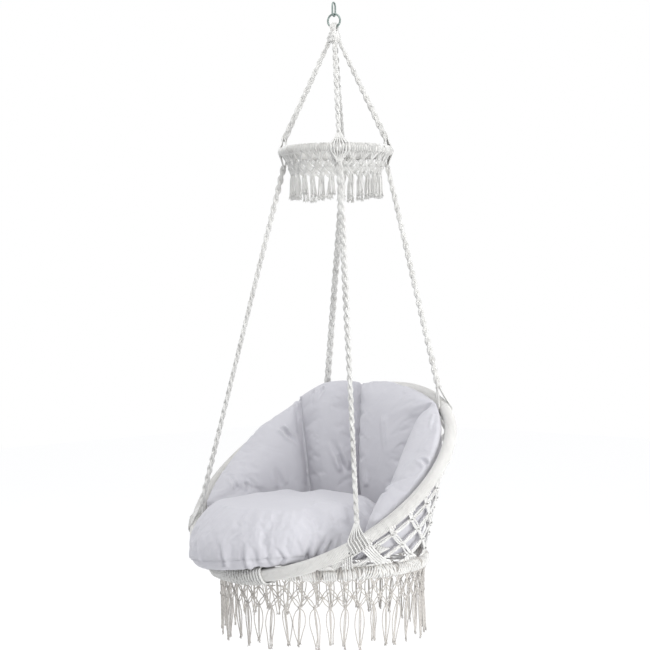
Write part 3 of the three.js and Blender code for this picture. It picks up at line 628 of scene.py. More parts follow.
def saddle_run(reach, start_shift, end_shift, foot):
    """Up one side of the ring's wire, over it and down the other side."""
    run = [ring_normal * -reach * 0.7 + ring_across * start_shift * 0.6 + upward * foot]
    for i in range(13):
        turn = math.pi - math.pi * i / 12
        shift = start_shift + (end_shift - start_shift) * i / 12
        run.append(
            ring_normal * reach * math.cos(turn)
            + ring_across * shift
            + upward * (swing_height + reach * math.sin(turn))
        )
    run.append(ring_normal * reach * 0.7 + ring_across * end_shift * 0.6 + upward * foot)
    return curved(run, 2)


loops = Cords()
for i in range(5):
    shift = (i - 2) * fold_pitch
    loops.lay(saddle_run(fold_reach, shift, shift, knot_top - 0.004), fold_cord, 8)
for start, end in strand_crossings:
    for side in (-1, 1):
        extra = side * strand_pitch
        run = saddle_run(strand_reach, start + extra, end + extra, knot_top - 0.006)
        loops.lay(run, strand_cord, 8)
add_piece("rope_loops_cord", loops.mesh("loops"), rope_cotton, ["rope_loops"])


def slanted_loop(centre, across, out, down, width, depth, slant, steps):
    """A closed oval turn, higher at one end than at the other."""
    run = []
    for i in range(steps):
        turn = math.tau * i / steps
        run.append(
            centre
            + across * (width / 2 * math.cos(turn))
            + out * (depth / 2 * math.sin(turn))
            + down * (slant * math.cos(turn))
        )
    return run


knot = Cords()
core_radius = 0.0165
core = [
    (0, 0, knot_bottom - 0.003, 0.55), (0, 0, knot_bottom + 0.002, 1), (0, 0, -0.095, 1),
    (0, 0, -0.084, 0.8), (0, 0, knot_top, 0.6), (0, 0, knot_top + 0.003, 0.4),
]
knot.lay(core, core_radius, 16)
# Each heavy turn has a level, a width and a slant, and is three cords wide.
heavy_turns = ((-0.1003, 0.0345, 0.0018), (-0.0915, 0.033, -0.0022), (-0.0832, 0.0265, 0.0016))
turn_layers = ((0.0027, -0.0012), (0, 0), (-0.0027, -0.0009))
turn_cord, turn_spin, turn_steps = 0.0021, 300, 28
for level, width, slant in heavy_turns:
    spin = level * turn_spin
    turned = ring_normal * math.cos(spin) + ring_across * math.sin(spin)
    other = np.cross(upward, turned)
    for lift, swell in turn_layers:
        middle = np.array((0, 0, level + lift))
        wide = width + swell
        run = slanted_loop(middle, turned, other, upward, wide, wide, slant, turn_steps)
        knot.lay(run, turn_cord, 8, closed=True)
# Short bridges cross from one heavy turn to the next.
bridge = [(-0.0165, -0.004, -0.1), (-0.0195, 0.0, -0.0935), (-0.015, 0.004, -0.086)]
bridge_cord, bridge_pitch = 0.0022, 0.0018
for spin in (0.4, 2.5, 4.6):
    c, s = math.cos(spin), math.sin(spin)
    run = [(x * c - y * s, x * s + y * c, z) for x, y, z in bridge]
    for side in (-1, 1):
        moved = [(x - side * bridge_pitch * s, y + side * bridge_pitch * c, z) for x, y, z in run]
        knot.lay(curved(moved, 5), bridge_cord, 8)
add_piece("gathering_knot_cord", knot.mesh("knot"), rope_cotton, ["gathering_knot"])

# %% [markdown]
# Each rope is a flat plait of three strands, and a strand is six cords. A strand's path is two
# waves: once across the rope and twice in and out for each plait, and its neighbours follow a
# third of a plait later. The cords keep square to the strand's own direction, which gives the
# herringbone, and the whole plait turns slowly.

# %% Plaited ropes
plait_length = 0.081
plait_steps = 20
cords_across_plait = 6.2
# Radius over pitch of cords that lie against each other, a little squashed.
snug = 0.53


def lay_plait(cords, top, bottom, top_width, bottom_width, side, twist):
    """A plait from top to bottom. side is the flat side's direction, twist its turns per metre."""
    line = bottom - top
    length = np.linalg.norm(line)
    down = line / length
    first = unit(side - down * (side @ down))
    second = np.cross(down, first)
    t = np.linspace(0, length, int(length / plait_length * plait_steps))
    swing = 0.5 + math.tau * twist * t
    flat = first[None] * np.cos(swing)[:, None] + second[None] * np.sin(swing)[:, None]
    thick = np.cross(down, flat)
    width = top_width + (bottom_width - top_width) * t / length
    cord = width / cords_across_plait
    for strand in range(3):
        phase = math.tau * (t / plait_length + strand / 3)
        across = (width / 2 - 1.5 * cord) * np.sin(phase)
        lift = 1.12 * cord * np.sin(2 * phase)
        slope = (width / 2 - 1.5 * cord) * np.cos(phase) * math.tau / plait_length
        lean = 1 / np.sqrt(1 + slope**2)
        path = top + down * t[:, None] + flat * across[:, None] + thick * lift[:, None]
        square = flat * lean[:, None] - down * (slope * lean)[:, None]
        for column in (-1, 0, 1):
            for row in (-0.45, 0.45):
                rise = (row + 0.12 * np.sign(row) * (column == 0)) * cord
                run = path + square * (column * cord)[:, None] + thick * rise[:, None]
                cords.lay(np.hstack([run, (cord / cord.max())[:, None]]), cord.max() * snug, 5)


upper_widths, lower_widths = (0.014, 0.0175), (0.0185, 0.019)
upper_twist = 0.5
knot_spread, knot_overlap = 0.0125, 0.004
canopy_fan_up, canopy_fan_down, canopy_pull = 0.032, 0.036, 0.017
rim_fan_length = 0.036
rope_feet = []
for i, corner in enumerate(corner_names):
    turn = math.radians(canopy_rope_angles[i])
    outward = np.array((math.sin(turn), -math.cos(turn), 0.0))
    sideways = np.cross(upward, outward)
    canopy_place = canopy_ring.point(canopy_rope_angles[i])
    top = outward * knot_spread + upward * (knot_bottom + knot_overlap)
    upper_end = canopy_place + upward * canopy_fan_up
    upper = Cords()
    lay_plait(upper, top, upper_end, *upper_widths, sideways, upper_twist)
    name = f"upper_rope_{corner}"
    add_piece(f"{name}_plait", upper.mesh("upper"), rope_cotton, [name])

    rim_place = rim_ring.point(rim_rope_angles[i])
    lower_start = canopy_place - upward * canopy_fan_down
    pull = unit(canopy_place - upward * canopy_pull - rim_place)
    lower_end = rim_place + pull * (rim_ring.wrap_radius + rim_fan_length)
    rope_feet.append((lower_end, pull))
    lower = Cords()
    lower_twist = 0.22 - 0.13 * i
    lay_plait(lower, lower_start, lower_end, *lower_widths, sideways, lower_twist)
    name = f"lower_rope_{corner}"
    add_piece(f"{name}_plait", lower.mesh("lower"), rope_cotton, [name])

# %% [markdown]
# At the canopy ring and at the rim a rope comes undone into its cords. They fan out, go round the
# wrapped hoop side by side, half of them over its outside and half over its inside, and at the
# canopy they close again below into the lower rope.

# %% Rope crossings at the canopy and fans at the rim


def lay_fan(cords, ring, angle, pull, rope_end, half_width, count, cord, lower_end=None):
    """Cords from a rope's end round a ring, and on to a lower end if there is one."""
    for side in (-1, 1):
        for j in range(count):
            shift = (j - (count - 1) / 2 + 0.25 * side) / (count / 2) * half_width
            place_angle = angle + ring.degrees_for(shift)
            place = ring.point(place_angle)
            along = ring.along(place_angle)
            up_here = unit(pull - along * (pull @ along))
            out = np.cross(along, up_here) * side
            reach = ring.wrap_radius + cord * 0.9

            def spot(turn, grow=1.0):
                """A place round the hoop, by its turn from the rope's direction."""
                turn = math.radians(turn)
                return place + (up_here * math.cos(turn) + out * math.sin(turn)) * reach * grow

            def loosening(end, turn):
                return end * 0.62 + spot(turn, 1.25) * 0.38 + cluster * 0.3

            cluster = along * shift * 0.24 + out * 0.003
            run = [rope_end + pull * 0.004 + cluster, loosening(rope_end, 35)]
            run += [spot(48, 1.02), spot(90), spot(132, 1.02)]
            if lower_end is None:
                run += [spot(175)]
            else:
                run += [loosening(lower_end, 145), lower_end - pull * 0.004 + cluster]
            cords.lay(curved(run, 5), cord / 2, 6)


wrap_steps = 14
wrap_drift, wrap_swell = 0.1, 0.00016


def lay_wrap(cords, ring, start, end, cord):
    """Cord wound side by side round a hoop, not quite evenly."""
    turns = ring.radius * math.radians(end - start) / cord
    t = np.arange(int(turns * wrap_steps) + 1) / wrap_steps
    drift_at = np.arange(0, turns + 4, 3)
    swell_at = np.arange(0, turns + 2, 1.5)
    drift = np.interp(t, drift_at, luck.normal(0, wrap_drift, len(drift_at)))
    swell = np.interp(t, swell_at, luck.normal(0, wrap_swell, len(swell_at)))
    angle = np.radians(start + (end - start) * (t + drift) / turns)
    reach = ring.wrap_radius - cord / 2 + swell
    back = -np.cos(angle)
    slanted = (np.sin(angle), back * math.cos(ring.slope), back * math.sin(ring.slope))
    radial = np.stack(slanted, axis=1)
    place = ring.centre + radial * (ring.radius + reach * np.cos(math.tau * t))[:, None]
    cords.lay(place + ring.axis * (reach * np.sin(math.tau * t))[:, None], cord * snug, 6)


canopy_wrap_cord, canopy_fan_reach = 0.0044, 6.0
rim_wrap_cord, rim_fan_reach = 0.0037, 4.5
for i, corner in enumerate(corner_names):
    angle = canopy_rope_angles[i]
    crossing = Cords()
    place = canopy_ring.point(angle)
    top, bottom = place + upward * 0.034, place - upward * 0.037
    lay_fan(crossing, canopy_ring, angle, upward, top, 0.026, 7, 0.0036, bottom)
    covered = (angle - canopy_fan_reach, angle + canopy_fan_reach)
    lay_wrap(crossing, canopy_ring, *covered, canopy_wrap_cord)
    name = f"canopy_knot_{corner}"
    add_piece(f"{name}_cords", crossing.mesh("crossing"), rope_cotton, [name])

    angle = rim_rope_angles[i]
    foot = Cords()
    rope_end, pull = rope_feet[i]
    lay_fan(foot, rim_ring, angle, pull, rope_end, 0.025, 6, 0.0039)
    covered = (angle - rim_fan_reach, angle + rim_fan_reach)
    lay_wrap(foot, rim_ring, *covered, rim_wrap_cord)
    name = f"rim_lashing_{corner}"
    add_piece(f"{name}_cords", foot.mesh("foot"), rope_cotton, [name])

# %% [markdown]
# Between the ropes the hoops are covered with one cord, wound turn against turn. A hand-wound
# hoop isn't even: the turns drift a little and some stand prouder, and both come from slow noise.

# %% Wraps of the three hoops
sides_named = ["left", "back", "right", "front"]
for name, ring, angles, half, cord in (
    ("canopy", canopy_ring, canopy_rope_angles, canopy_fan_reach, canopy_wrap_cord),
    ("rim", rim_ring, rim_rope_angles, rim_fan_reach, rim_wrap_cord),
    ("base", base_ring, [45, 135, 225, 315], 0.0, rim_wrap_cord),
):
    for i, side in enumerate(sides_named):
        stop = angles[i + 1] if i < 3 else angles[0] + 360
        wrap = Cords()
        lay_wrap(wrap, ring, angles[i] + half, stop - half, cord)
        node = f"{name}_wrap_{side}"
        add_piece(f"{node}_cord", wrap.mesh("wrap"), wrap_cotton, [node])

# %% [markdown]
# The rest is knotted work, and it is all made of two things. A bundle is a few parallel cords that
# run tight out of one knot, spread a little and come together again in the next. A knot is three
# slanted loops round the cords that meet there.

# %% Helpers for knotted work
net_cord = 0.0048
fibre_radius = 0.0009


def lay_bundle(cords, start, end, out, count, cord, tight, loose, bulge=0.0, points=7):
    """Cords from knot to knot, tight side by side at both ends and looser between."""
    line = end - start
    side = unit(np.cross(line, out))
    t = np.linspace(0, 1, points)
    swell = np.sin(np.pi * t)
    for k in range(count):
        offset = k - (count - 1) / 2
        spread = offset * (tight + (loose - tight) * swell) + luck.normal(0, 0.16) * cord * swell
        lift = (bulge + luck.normal(0, 0.2) * cord) * swell
        run = start + line * t[:, None] + side * spread[:, None] + out * lift[:, None]
        cords.lay(run, cord / 2, 5)


def lay_knot(cords, centre, across, down, width, height, depth, cord):
    """Three loops, slanted in turn to one side and the other."""
    out = unit(np.cross(across, down))
    for i, side in enumerate((1, -1, 1)):
        middle = centre + down * (i - 1) * height * 0.32
        size = 1.0 if i == 1 else 0.86
        wide, deep, slant = width * size, depth * size, side * height * 0.16
        loop = slanted_loop(middle, across, out, down, wide, deep, slant, 10)
        cords.lay(loop, cord / 2, 5, closed=True)


def lay_tuft(cords, tip, down, spread, length, count):
    """The frayed end of a cord: fibres that fan out a little."""
    side = unit(np.cross(down, (0.3, 0.9, 0.1)))
    other = np.cross(down, side)
    for k in range(count):
        turn = math.tau * (k + luck.random()) / count
        away = (side * math.cos(turn) + other * math.sin(turn)) * spread * luck.uniform(0.5, 1)
        reach = length * luck.uniform(0.7, 1)
        root, tail = tip - down * 0.002, tip + down * reach + away
        middle = tip + down * reach * 0.5 + away * 0.45
        cords.lay([[*root, 1], [*middle, 0.9], [*tail, 0.4]], fibre_radius, 4)


print("net cord", net_cord, "m thick, fibres of a frayed end", fibre_radius * 2, "m")

# %% [markdown]
# The wall of the bowl runs straight from each point of the rim to the point of the base ring below
# it. The net's knots lie in level rows on that wall, each row half a column on from the last, so
# its meshes are diamonds, and the tilted rim cuts through them: two or three rows fit near the
# front and a dozen at the high back. A bundle that meets the rim goes round it. Where a bundle
# reaches the base ring its cords spread out and go over the outside of the ring.

# %% Helpers for the net of the bowl
net_half_pitch = 11.25
net_first_knot = 64.5
net_low_row = 0.034
net_row_rise = 0.0342
net_top_margin = 0.03
net_most_rows = 14
landing_turn, landing_sweep = 15, 145
landing_pitch, knot_pitch = 0.0074, 0.0018
rim_hitch_pitch = 0.0066
rim_hitch_turns = ((20, 0.3), (48, 0.4), (76, 0.1), (100, -0.6))


def wall_spot(angle, drop):
    """A place on the wall some way below the rim, with the directions across and down it."""
    top = rim_ring.point(angle)
    fall = base_ring.point(angle) - top
    length = np.linalg.norm(fall)
    share = min(drop / length, 1.0)
    across = unit(rim_ring.along(angle) * (1 - share) + base_ring.along(angle) * share)
    down = unit(fall - across * (fall @ across))
    return top + fall * share, across, down


def level_spot(angle, rise):
    """A place on the wall at a height over the base ring, and level and downward directions."""
    foot = base_ring.point(angle)
    climb = rim_ring.point(angle) - foot
    place = foot + climb * (rise / climb[2])
    across = base_ring.along(angle)
    down = -unit(climb - across * (climb @ across))
    return place, across, down


def rim_rise(angle):
    return rim_ring.point(angle)[2] - base_ring.centre[2]


def over_base(angle, offset, lean, ring_turns=(15, 50, 85, 120, 160)):
    """Places of a cord that goes over the outside of the base ring, leaning as it goes."""
    run = []
    for turn in ring_turns:
        leaned = offset + lean * (turn - landing_turn) / landing_sweep
        here = angle + base_ring.degrees_for(leaned)
        turned = math.radians(turn)
        away = upward * math.cos(turned) + base_ring.radial(here) * math.sin(turned)
        run.append(base_ring.point(here) + away * (base_ring.wrap_radius + net_cord * 0.4))
    return run


def lay_onto_base(cords, start, side_vector, angle, out, count, lean, loose):
    """A bundle that ends by spreading over the base ring."""
    for k in range(count):
        offset = k - (count - 1) / 2
        run = over_base(angle, offset * landing_pitch - lean, lean * 1.5)
        first = start + side_vector * offset * knot_pitch
        aside = side_vector * offset * (loose - knot_pitch)
        middle = (first + run[0]) / 2 + aside + out * luck.normal(0.001, 0.0006)
        cords.lay(curved([first, middle] + run, 3), net_cord / 2, 6)


def lay_onto_rim(cords, start, angle, rise, side):
    """A bundle that slants up from a knot until it meets the rim and goes round it."""
    for share in np.arange(0.2, 2.6, 0.05):
        reached = angle + side * net_half_pitch * share
        if rise + net_row_rise * share > rim_rise(reached) - rim_ring.wrap_radius * 0.9:
            break
    for k in range(3):
        offset = (k - 1) * rim_hitch_pitch
        here = reached + rim_ring.degrees_for(offset)
        place, across, down = wall_spot(here, 0)
        outward = unit(np.cross(down, across))
        run = [start + across * offset * 0.4]
        for turn, lift in rim_hitch_turns:
            turned = math.radians(turn)
            away = down * math.cos(turned) + outward * math.sin(turned)
            hitched = place + away * (rim_ring.wrap_radius + net_cord * lift)
            run.append(hitched + across * side * 0.003 * turn / 90)
        cords.lay(curved(run, 3), net_cord / 2, 6)


print("rim over the base ring: front", round(rim_rise(0), 3), "back", round(rim_rise(180), 3), "m")

# %% [markdown]
# The net is tied from the lowest row upwards, one knot at a time. From each knot two bundles rise
# to the next row, or to the rim where there is no next row. The net is one piece for each of the
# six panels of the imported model.

# %% Net of the bowl
panel_names = ["front_left", "left", "back_left", "back_right", "right", "front_right"]
panels = [Cords() for _ in panel_names]
panel_first, panel_span = 52, 256 / len(panel_names)
net_knot = (0.019, 0.015, 0.011, 0.0042)
net_spread = (0.0027, 0.0056, 0.0012)
foot_step, foot_lean, foot_loose = 5.6, 0.012, 0.0058
knot_count = 0
for row in range(net_most_rows):
    rise = net_low_row + net_row_rise * row
    first = net_first_knot + net_half_pitch * ((row + 1) % 2)
    for angle in np.arange(first, 360 - net_first_knot + 1, 2 * net_half_pitch):
        if rise > rim_rise(angle) - net_top_margin:
            continue
        panel = panels[min(len(panels) - 1, int((angle - panel_first) / panel_span))]
        place, across, down = level_spot(angle, rise)
        out = unit(np.cross(down, across))
        lay_knot(panel, place + out * 0.001, across, down, *net_knot)
        knot_count += 1
        for side in (-1, 1):
            next_angle = angle + side * net_half_pitch
            if rise + net_row_rise > rim_rise(next_angle) - net_top_margin:
                lay_onto_rim(panel, place, angle, rise, side)
            else:
                end = level_spot(next_angle, rise + net_row_rise)[0]
                lay_bundle(panel, place, end, out, 3, net_cord, *net_spread)
            if row == 0:
                foot_angle = angle + side * foot_step
                lean = side * foot_lean
                lay_onto_base(panel, place, across * side, foot_angle, out, 7, lean, foot_loose)
print("knots in the bowl:", knot_count)

# %% [markdown]
# Two details belong to the front of the bowl. Under each front rope five cords from one side and
# five from the other cross in a large X over the net, and between that X and the bound front the
# net ends in small slanted bundles that close the narrow gap between the rim and the base ring.

# %% Crossed bundles and the ends of the net
# Angle and drop where a bundle of the X leaves the wall, and angle where it meets the base ring.
crossed_bundles = ((72.5, 0.098, 61.5), (57.5, 0.018, 80.5))
crossed_cord, crossed_lean = 0.0026, 0.003
crossed_lift, crossed_layer = 0.0065, 0.0045
crossed_foot_pitch, crossed_middle_pitch = 0.0115, 0.0056
# Angles on the rim and on the base ring of each small bundle.
end_bundles = ((27, 36), (33, 28), (38, 48), (44, 38), (48, 58), (54, 49))
end_pitch, end_lean = 0.006, 0.004
end_turns = (40, 70, 100, 130, 160)
for mirrored, panel in ((1, panels[0]), (-1, panels[5])):
    for layer, (top_angle, top_drop, base_angle) in enumerate(crossed_bundles):
        start, across, down = wall_spot(mirrored * top_angle, top_drop)
        out = unit(np.cross(down, across))
        foot = over_base(mirrored * base_angle, 0.0, crossed_lean)[0]
        centre = (start + foot) / 2 + out * (crossed_lift + crossed_layer * layer)
        for k in range(-2, 3):
            first = start + (across * mirrored * 0.008 + down * 0.006) * k + out * 0.004
            middle = centre + across * mirrored * crossed_middle_pitch * k
            offset = mirrored * k * crossed_foot_pitch
            run = over_base(mirrored * base_angle, offset, crossed_lean)
            panel.lay(curved([first, middle] + run, 4), crossed_cord, 6)
    for rim_angle, base_angle in end_bundles:
        for k in range(5):
            offset = (k - 2) * end_pitch
            here = mirrored * (rim_angle + rim_ring.degrees_for(offset))
            place, across, down = wall_spot(here, 0)
            out = unit(np.cross(down, across))
            first = place + (down * 0.6 + out * 0.8) * (rim_ring.wrap_radius + net_cord * 0.3)
            run = over_base(mirrored * base_angle, mirrored * offset, end_lean, end_turns)
            panel.lay(curved([first] + run, 4), net_cord / 2, 5)
for side, panel in zip(panel_names, panels):
    name = f"bowl_net_{side}"
    add_piece(f"{name}_cords", panel.mesh("panel"), net_cotton, [name])

# %% [markdown]
# Under the seat the same cord makes a flat net that closes in on a knotted disc. The cushion lies
# on it, so it only shows from below.

# %% Net under the seat
seat_net_height = 0.007
seat_net = Cords()
seat_columns = 12
seat_net_reach = base_ring.radius - base_ring.wrap_radius - 0.009
seat_rows = [seat_net_reach * share for share in (1, 0.66, 0.36)]
seat_knot = (0.0165, 0.0125, 0.0075, net_cord)
seat_tight = 0.0017
disc_turns, disc_steps = 12, 40
disc_start, disc_pitch, disc_cord = 0.003, 0.0069, 0.0035


def seat_spot(row, column):
    angle = 360 / seat_columns * (column + (row % 2) / 2)
    radial = base_ring.radial(angle)
    place = base_ring.centre + radial * seat_rows[row] + upward * seat_net_height
    return place, base_ring.along(angle), -radial


for row in range(3):
    for column in range(seat_columns):
        place, across, inward = seat_spot(row, column)
        lay_knot(seat_net, place, across, inward, *seat_knot)
        if row == 0:
            ring_side = place - inward * 0.02 + upward * 0.002
            for side in (-1, 1):
                start = ring_side + across * side * 0.009
                lay_bundle(seat_net, start, place, upward, 4, net_cord, seat_tight, 0.002)
        if row < 2:
            for step in (row % 2, row % 2 - 1):
                end = seat_spot(row + 1, column + step)[0]
                lay_bundle(seat_net, place, end, upward, 4, net_cord, seat_tight, 0.0037)
        else:
            end = place + inward * 0.02
            lay_bundle(seat_net, place, end, upward, 6, net_cord, 0.0024, 0.003)
turns = np.arange(disc_turns * disc_steps) / disc_steps
spiral_reach = disc_start + turns * disc_pitch
spiral = base_ring.centre + np.stack(
    [
        spiral_reach * np.sin(math.tau * turns),
        -spiral_reach * np.cos(math.tau * turns),
        np.full(len(turns), seat_net_height),
    ],
    axis=1,
)
seat_net.lay(spiral, disc_cord, 8)
add_piece("seat_net_cords", seat_net.mesh("seat_net"), net_cotton, ["seat_net"])

# %% [markdown]
# A thick three-ply cord binds the rim and the base ring together at the front. It runs round both
# in one orbit: a straight stretch above, half a turn round one ring, a stretch below and half a
# turn round the other. It leans as it winds.

# %% Front lashing
lash_turns = 22
lash_reach = 14.2
lash_steps = 24
lash_cord = 0.0039
lash_lean = 0.009
orbit = rim_ring.wrap_radius + 0.0045
lash_run = []
for i in range(lash_turns * lash_steps + 1):
    turn = math.tau * i / lash_steps
    angle = lash_reach * (2 * i / (lash_turns * lash_steps) - 1)
    rim_place = rim_ring.point(angle)
    base_turn = math.degrees(math.atan2(rim_place[0], -rim_place[1] + base_ring.centre[1]))
    base_place = base_ring.point(base_turn)
    across = unit(base_place - rim_place)
    rise = unit(np.cross(across, base_ring.along(base_turn)))
    hub = base_place if math.cos(turn) > 0 else rim_place
    slant = base_ring.along(base_turn) * lash_lean * math.sin(turn)
    lash_run.append(hub + across * orbit * math.cos(turn) + rise * orbit * math.sin(turn) + slant)
lashing = Cords()
lashing.lay(lash_run, lash_cord, 12, plies=3, groove=0.32, twist=38)
add_piece("front_lashing_cord", lashing.mesh("lashing"), rope_cotton, ["front_lashing"])

# %% [markdown]
# The fringe hangs all round the base ring. Its cords go over the ring, and three rows of small
# knots tie them in pairs into a lattice. Under each knot of the last row four cords hang free: the
# outer two bow out and come back, and every end is frayed.

# %% Fringe under the base ring


def fringe_spot(ring, count, column, radius, drop):
    angle = 360 / count * column
    radial = ring.radial(angle)
    place = ring.centre + radial * radius - upward * drop
    return place, ring.along(angle), radial


tassel_count = 44
fringe_cord = 0.0016
fringe_rows = [(0.037, 0.0), (0.061, 0.5), (0.086, 0.0)]
fringe_radius = base_ring.radius + 0.001
fringe_knot = (0.0078, 0.0062, 0.0056, 0.0025)
fringe_pitch = 0.0068
fringe_turns = (-50, -10, 30, 70, 110, 150)
fringe_bow = 0.0035
lashed_reach, lashed_drop = 22, 0.014
tassel_length = (0.086, 0.112)
tassel_bows = (-0.0145, -0.0022, 0.0022, 0.0145)
tassel_tips = (-0.003, -0.0014, 0.0014, 0.003)
quarters = [Cords() for _ in corner_names]
for column in range(tassel_count):
    quarter = quarters[column * 4 // tassel_count]
    anchor_angle = 360 / tassel_count * (column + 0.5)
    near_lashing = abs((anchor_angle + 180) % 360 - 180) < lashed_reach
    for k in range(6):
        offset = (k - 2.5) * fringe_pitch
        slant = luck.normal(0, 0.004)
        arc = over_base(anchor_angle, offset - slant, slant * 2, fringe_turns)
        if near_lashing:
            lowest = over_base(anchor_angle, offset, 0.0, fringe_turns[-1:])[0]
            arc = [lowest - upward * lashed_drop]
        side = 0 if k < 3 else 1
        end, across, radial = fringe_spot(
            base_ring, tassel_count, column + side, fringe_radius, fringe_rows[0][0]
        )
        bend = fringe_bow if k in (0, 5) else -fringe_bow
        bow = (arc[-1] + end) / 2 - across * bend * (1 if side else -1)
        knotted = end + across * (k - 2.5) * 0.0006 - upward * 0.002
        quarter.lay(curved(arc + [bow, knotted], 3), fringe_cord, 5)
    for row, (drop, shift) in enumerate(fringe_rows):
        sag = luck.normal(0, 0.0012)
        place, across, radial = fringe_spot(
            base_ring, tassel_count, column + shift, fringe_radius, drop + sag
        )
        lay_knot(quarter, place, across, -upward, *fringe_knot)
        if row < 2:
            next_drop = fringe_rows[row + 1][0]
            for step in (0, 1):
                end = fringe_spot(
                    base_ring, tassel_count, column + shift + step - 0.5, fringe_radius, next_drop
                )[0]
                lay_bundle(quarter, place, end, radial, 2, fringe_cord * 2, 0.0022, 0.0085, 0.0006)
        else:
            length = luck.uniform(*tassel_length)
            sway = across * luck.normal(0, 0.004) + radial * luck.normal(0, 0.003)
            for k in range(4):
                bow = tassel_bows[k] * luck.uniform(0.5, 1.15)
                tip_shift = tassel_tips[k] + luck.normal(0, 0.0016)
                reach = length * luck.uniform(0.93, 1.04)
                run = curved(
                    [
                        place,
                        place - upward * reach * 0.14 + across * bow * 0.72,
                        place - upward * reach * 0.42 + across * bow + sway * 0.4,
                        place - upward * reach * 0.74 + across * (bow * 0.62) + sway * 0.8,
                        place - upward * reach + across * tip_shift + sway,
                    ],
                    4,
                )
                quarter.lay(run, fringe_cord, 5)
                lay_tuft(quarter, run[-1], -upward, 0.0036, 0.009, 5)
for corner, quarter in zip(corner_names, quarters):
    name = f"base_fringe_{corner}"
    add_piece(f"{name}_cords", quarter.mesh("fringe"), shaded_fringe_cotton, [name])

# %% [markdown]
# The canopy's fringe is the same work, also in three rows, but finer and closer, and each tassel
# has seven thin cords. It draws in a little as it hangs, so each row has its own radius.

# %% Fringe under the canopy ring
canopy_count = 28
canopy_cord = 0.0014
# Drop, shift and radius of each row.
canopy_rows = [(0.029, 0.0, 0.134), (0.046, 0.5, 0.128), (0.063, 0.0, 0.122)]
canopy_knot = (0.0085, 0.0068, 0.0062, 0.0024)
canopy_pitch = 0.0046
canopy_tassel_length, canopy_tassel_cords = (0.05, 0.06), 7
canopy_turns = (-60, -20, 20, 60, 100, 140, 170)
canopy_first_drop, _, canopy_first_radius = canopy_rows[0]
canopy_quarters = [Cords() for _ in corner_names]
for column in range(canopy_count):
    quarter = canopy_quarters[column * 4 // canopy_count]
    anchor_angle = 360 / canopy_count * (column + 0.5)
    for k in range(6):
        offset = (k - 2.5) * canopy_pitch
        here = anchor_angle + canopy_ring.degrees_for(offset)
        reach = canopy_ring.wrap_radius + 0.0012
        slant = luck.normal(0.5, 0.4)
        arc = []
        for turn in canopy_turns:
            turned = math.radians(turn)
            leaned = here + slant * (turn - 80) / 60
            away = upward * math.cos(turned) + canopy_ring.radial(leaned) * math.sin(turned)
            arc.append(canopy_ring.point(leaned) + away * reach)
        end, across, radial = fringe_spot(
            canopy_ring, canopy_count, column + (k > 2), canopy_first_radius, canopy_first_drop
        )
        knotted = end + across * (k % 3 - 1) * 0.002 - upward * 0.002
        quarter.lay(curved(arc + [knotted], 3), canopy_cord * 1.15, 5)
    for row, (drop, shift, radius) in enumerate(canopy_rows):
        sag = luck.normal(0, 0.001)
        place, across, radial = fringe_spot(
            canopy_ring, canopy_count, column + shift, radius, drop + sag
        )
        lay_knot(quarter, place, across, -upward, *canopy_knot)
        if row < 2:
            next_drop, _, next_radius = canopy_rows[row + 1]
            for step in (0, 1):
                end = fringe_spot(
                    canopy_ring, canopy_count, column + shift + step - 0.5, next_radius, next_drop
                )[0]
                thick = canopy_cord * 2
                lay_bundle(quarter, place, end, radial, 3, thick, 0.0018, 0.0038, 0.0006, 6)
        else:
            length = luck.uniform(*canopy_tassel_length)
            sway = across * luck.normal(0, 0.0025)
            for k in range(canopy_tassel_cords):
                turn = math.tau * (k + luck.uniform(-0.3, 0.3)) / canopy_tassel_cords
                away = across * math.cos(turn) * 0.0075 + radial * math.sin(turn) * 0.005
                reach = length * luck.uniform(0.94, 1.05)
                run = curved(
                    [
                        place,
                        place - upward * reach * 0.22 + away * 0.8,
                        place - upward * reach * 0.65 + away * luck.uniform(0.9, 1.15) + sway * 0.5,
                        place - upward * reach + away * luck.uniform(0.85, 1.25) + sway,
                    ],
                    4,
                )
                quarter.lay(run, canopy_cord, 5)
                lay_tuft(quarter, run[-1], -upward, 0.0042, 0.011, 5)
for corner, quarter in zip(corner_names, canopy_quarters):
    name = f"canopy_fringe_{corner}"
    add_piece(f"{name}_cords", quarter.mesh("fringe"), rope_cotton, [name])

# %% [markdown]
# Both cushions are sewn covers with loose filling. Each starts as a ball whose points are carried
# onto the shape of the empty cover. The cover is then blown up as cloth with its seams held, which
# rounds it and leaves the tight folds beside a seam that real filling makes. A modifier, such as
# the remesh that evens out the ball's squares, is put on a holder, and its result is kept.

# %% Helpers for a cover's mesh


def ball_points(around, along):
    """A ball as a bmesh, with each point's turn about the pole and its angle from the pole."""
    ball = bmesh.new()
    bmesh.ops.create_uvsphere(ball, u_segments=around, v_segments=along, radius=1.0)
    places = np.array([vertex.co[:] for vertex in ball.verts])
    return ball, np.arctan2(places[:, 1], places[:, 0]), np.arccos(np.clip(places[:, 2], -1, 1))


def mesh_points(mesh):
    places = np.empty(len(mesh.vertices) * 3)
    mesh.vertices.foreach_get("co", places)
    return places.reshape(-1, 3)


def set_points(mesh, places):
    mesh.vertices.foreach_set("co", np.ascontiguousarray(places).ravel())
    mesh.update()


def mesh_normals(mesh):
    normals = np.empty(len(mesh.vertices) * 3)
    mesh.vertex_normals.foreach_get("vector", normals)
    return normals.reshape(-1, 3)


def finished_mesh(holder):
    """The mesh that an object's modifiers make, as a new mesh. The object goes."""
    depsgraph = bpy.context.evaluated_depsgraph_get()
    finished = bpy.data.meshes.new_from_object(holder.evaluated_get(depsgraph))
    bpy.data.objects.remove(holder)
    return finished


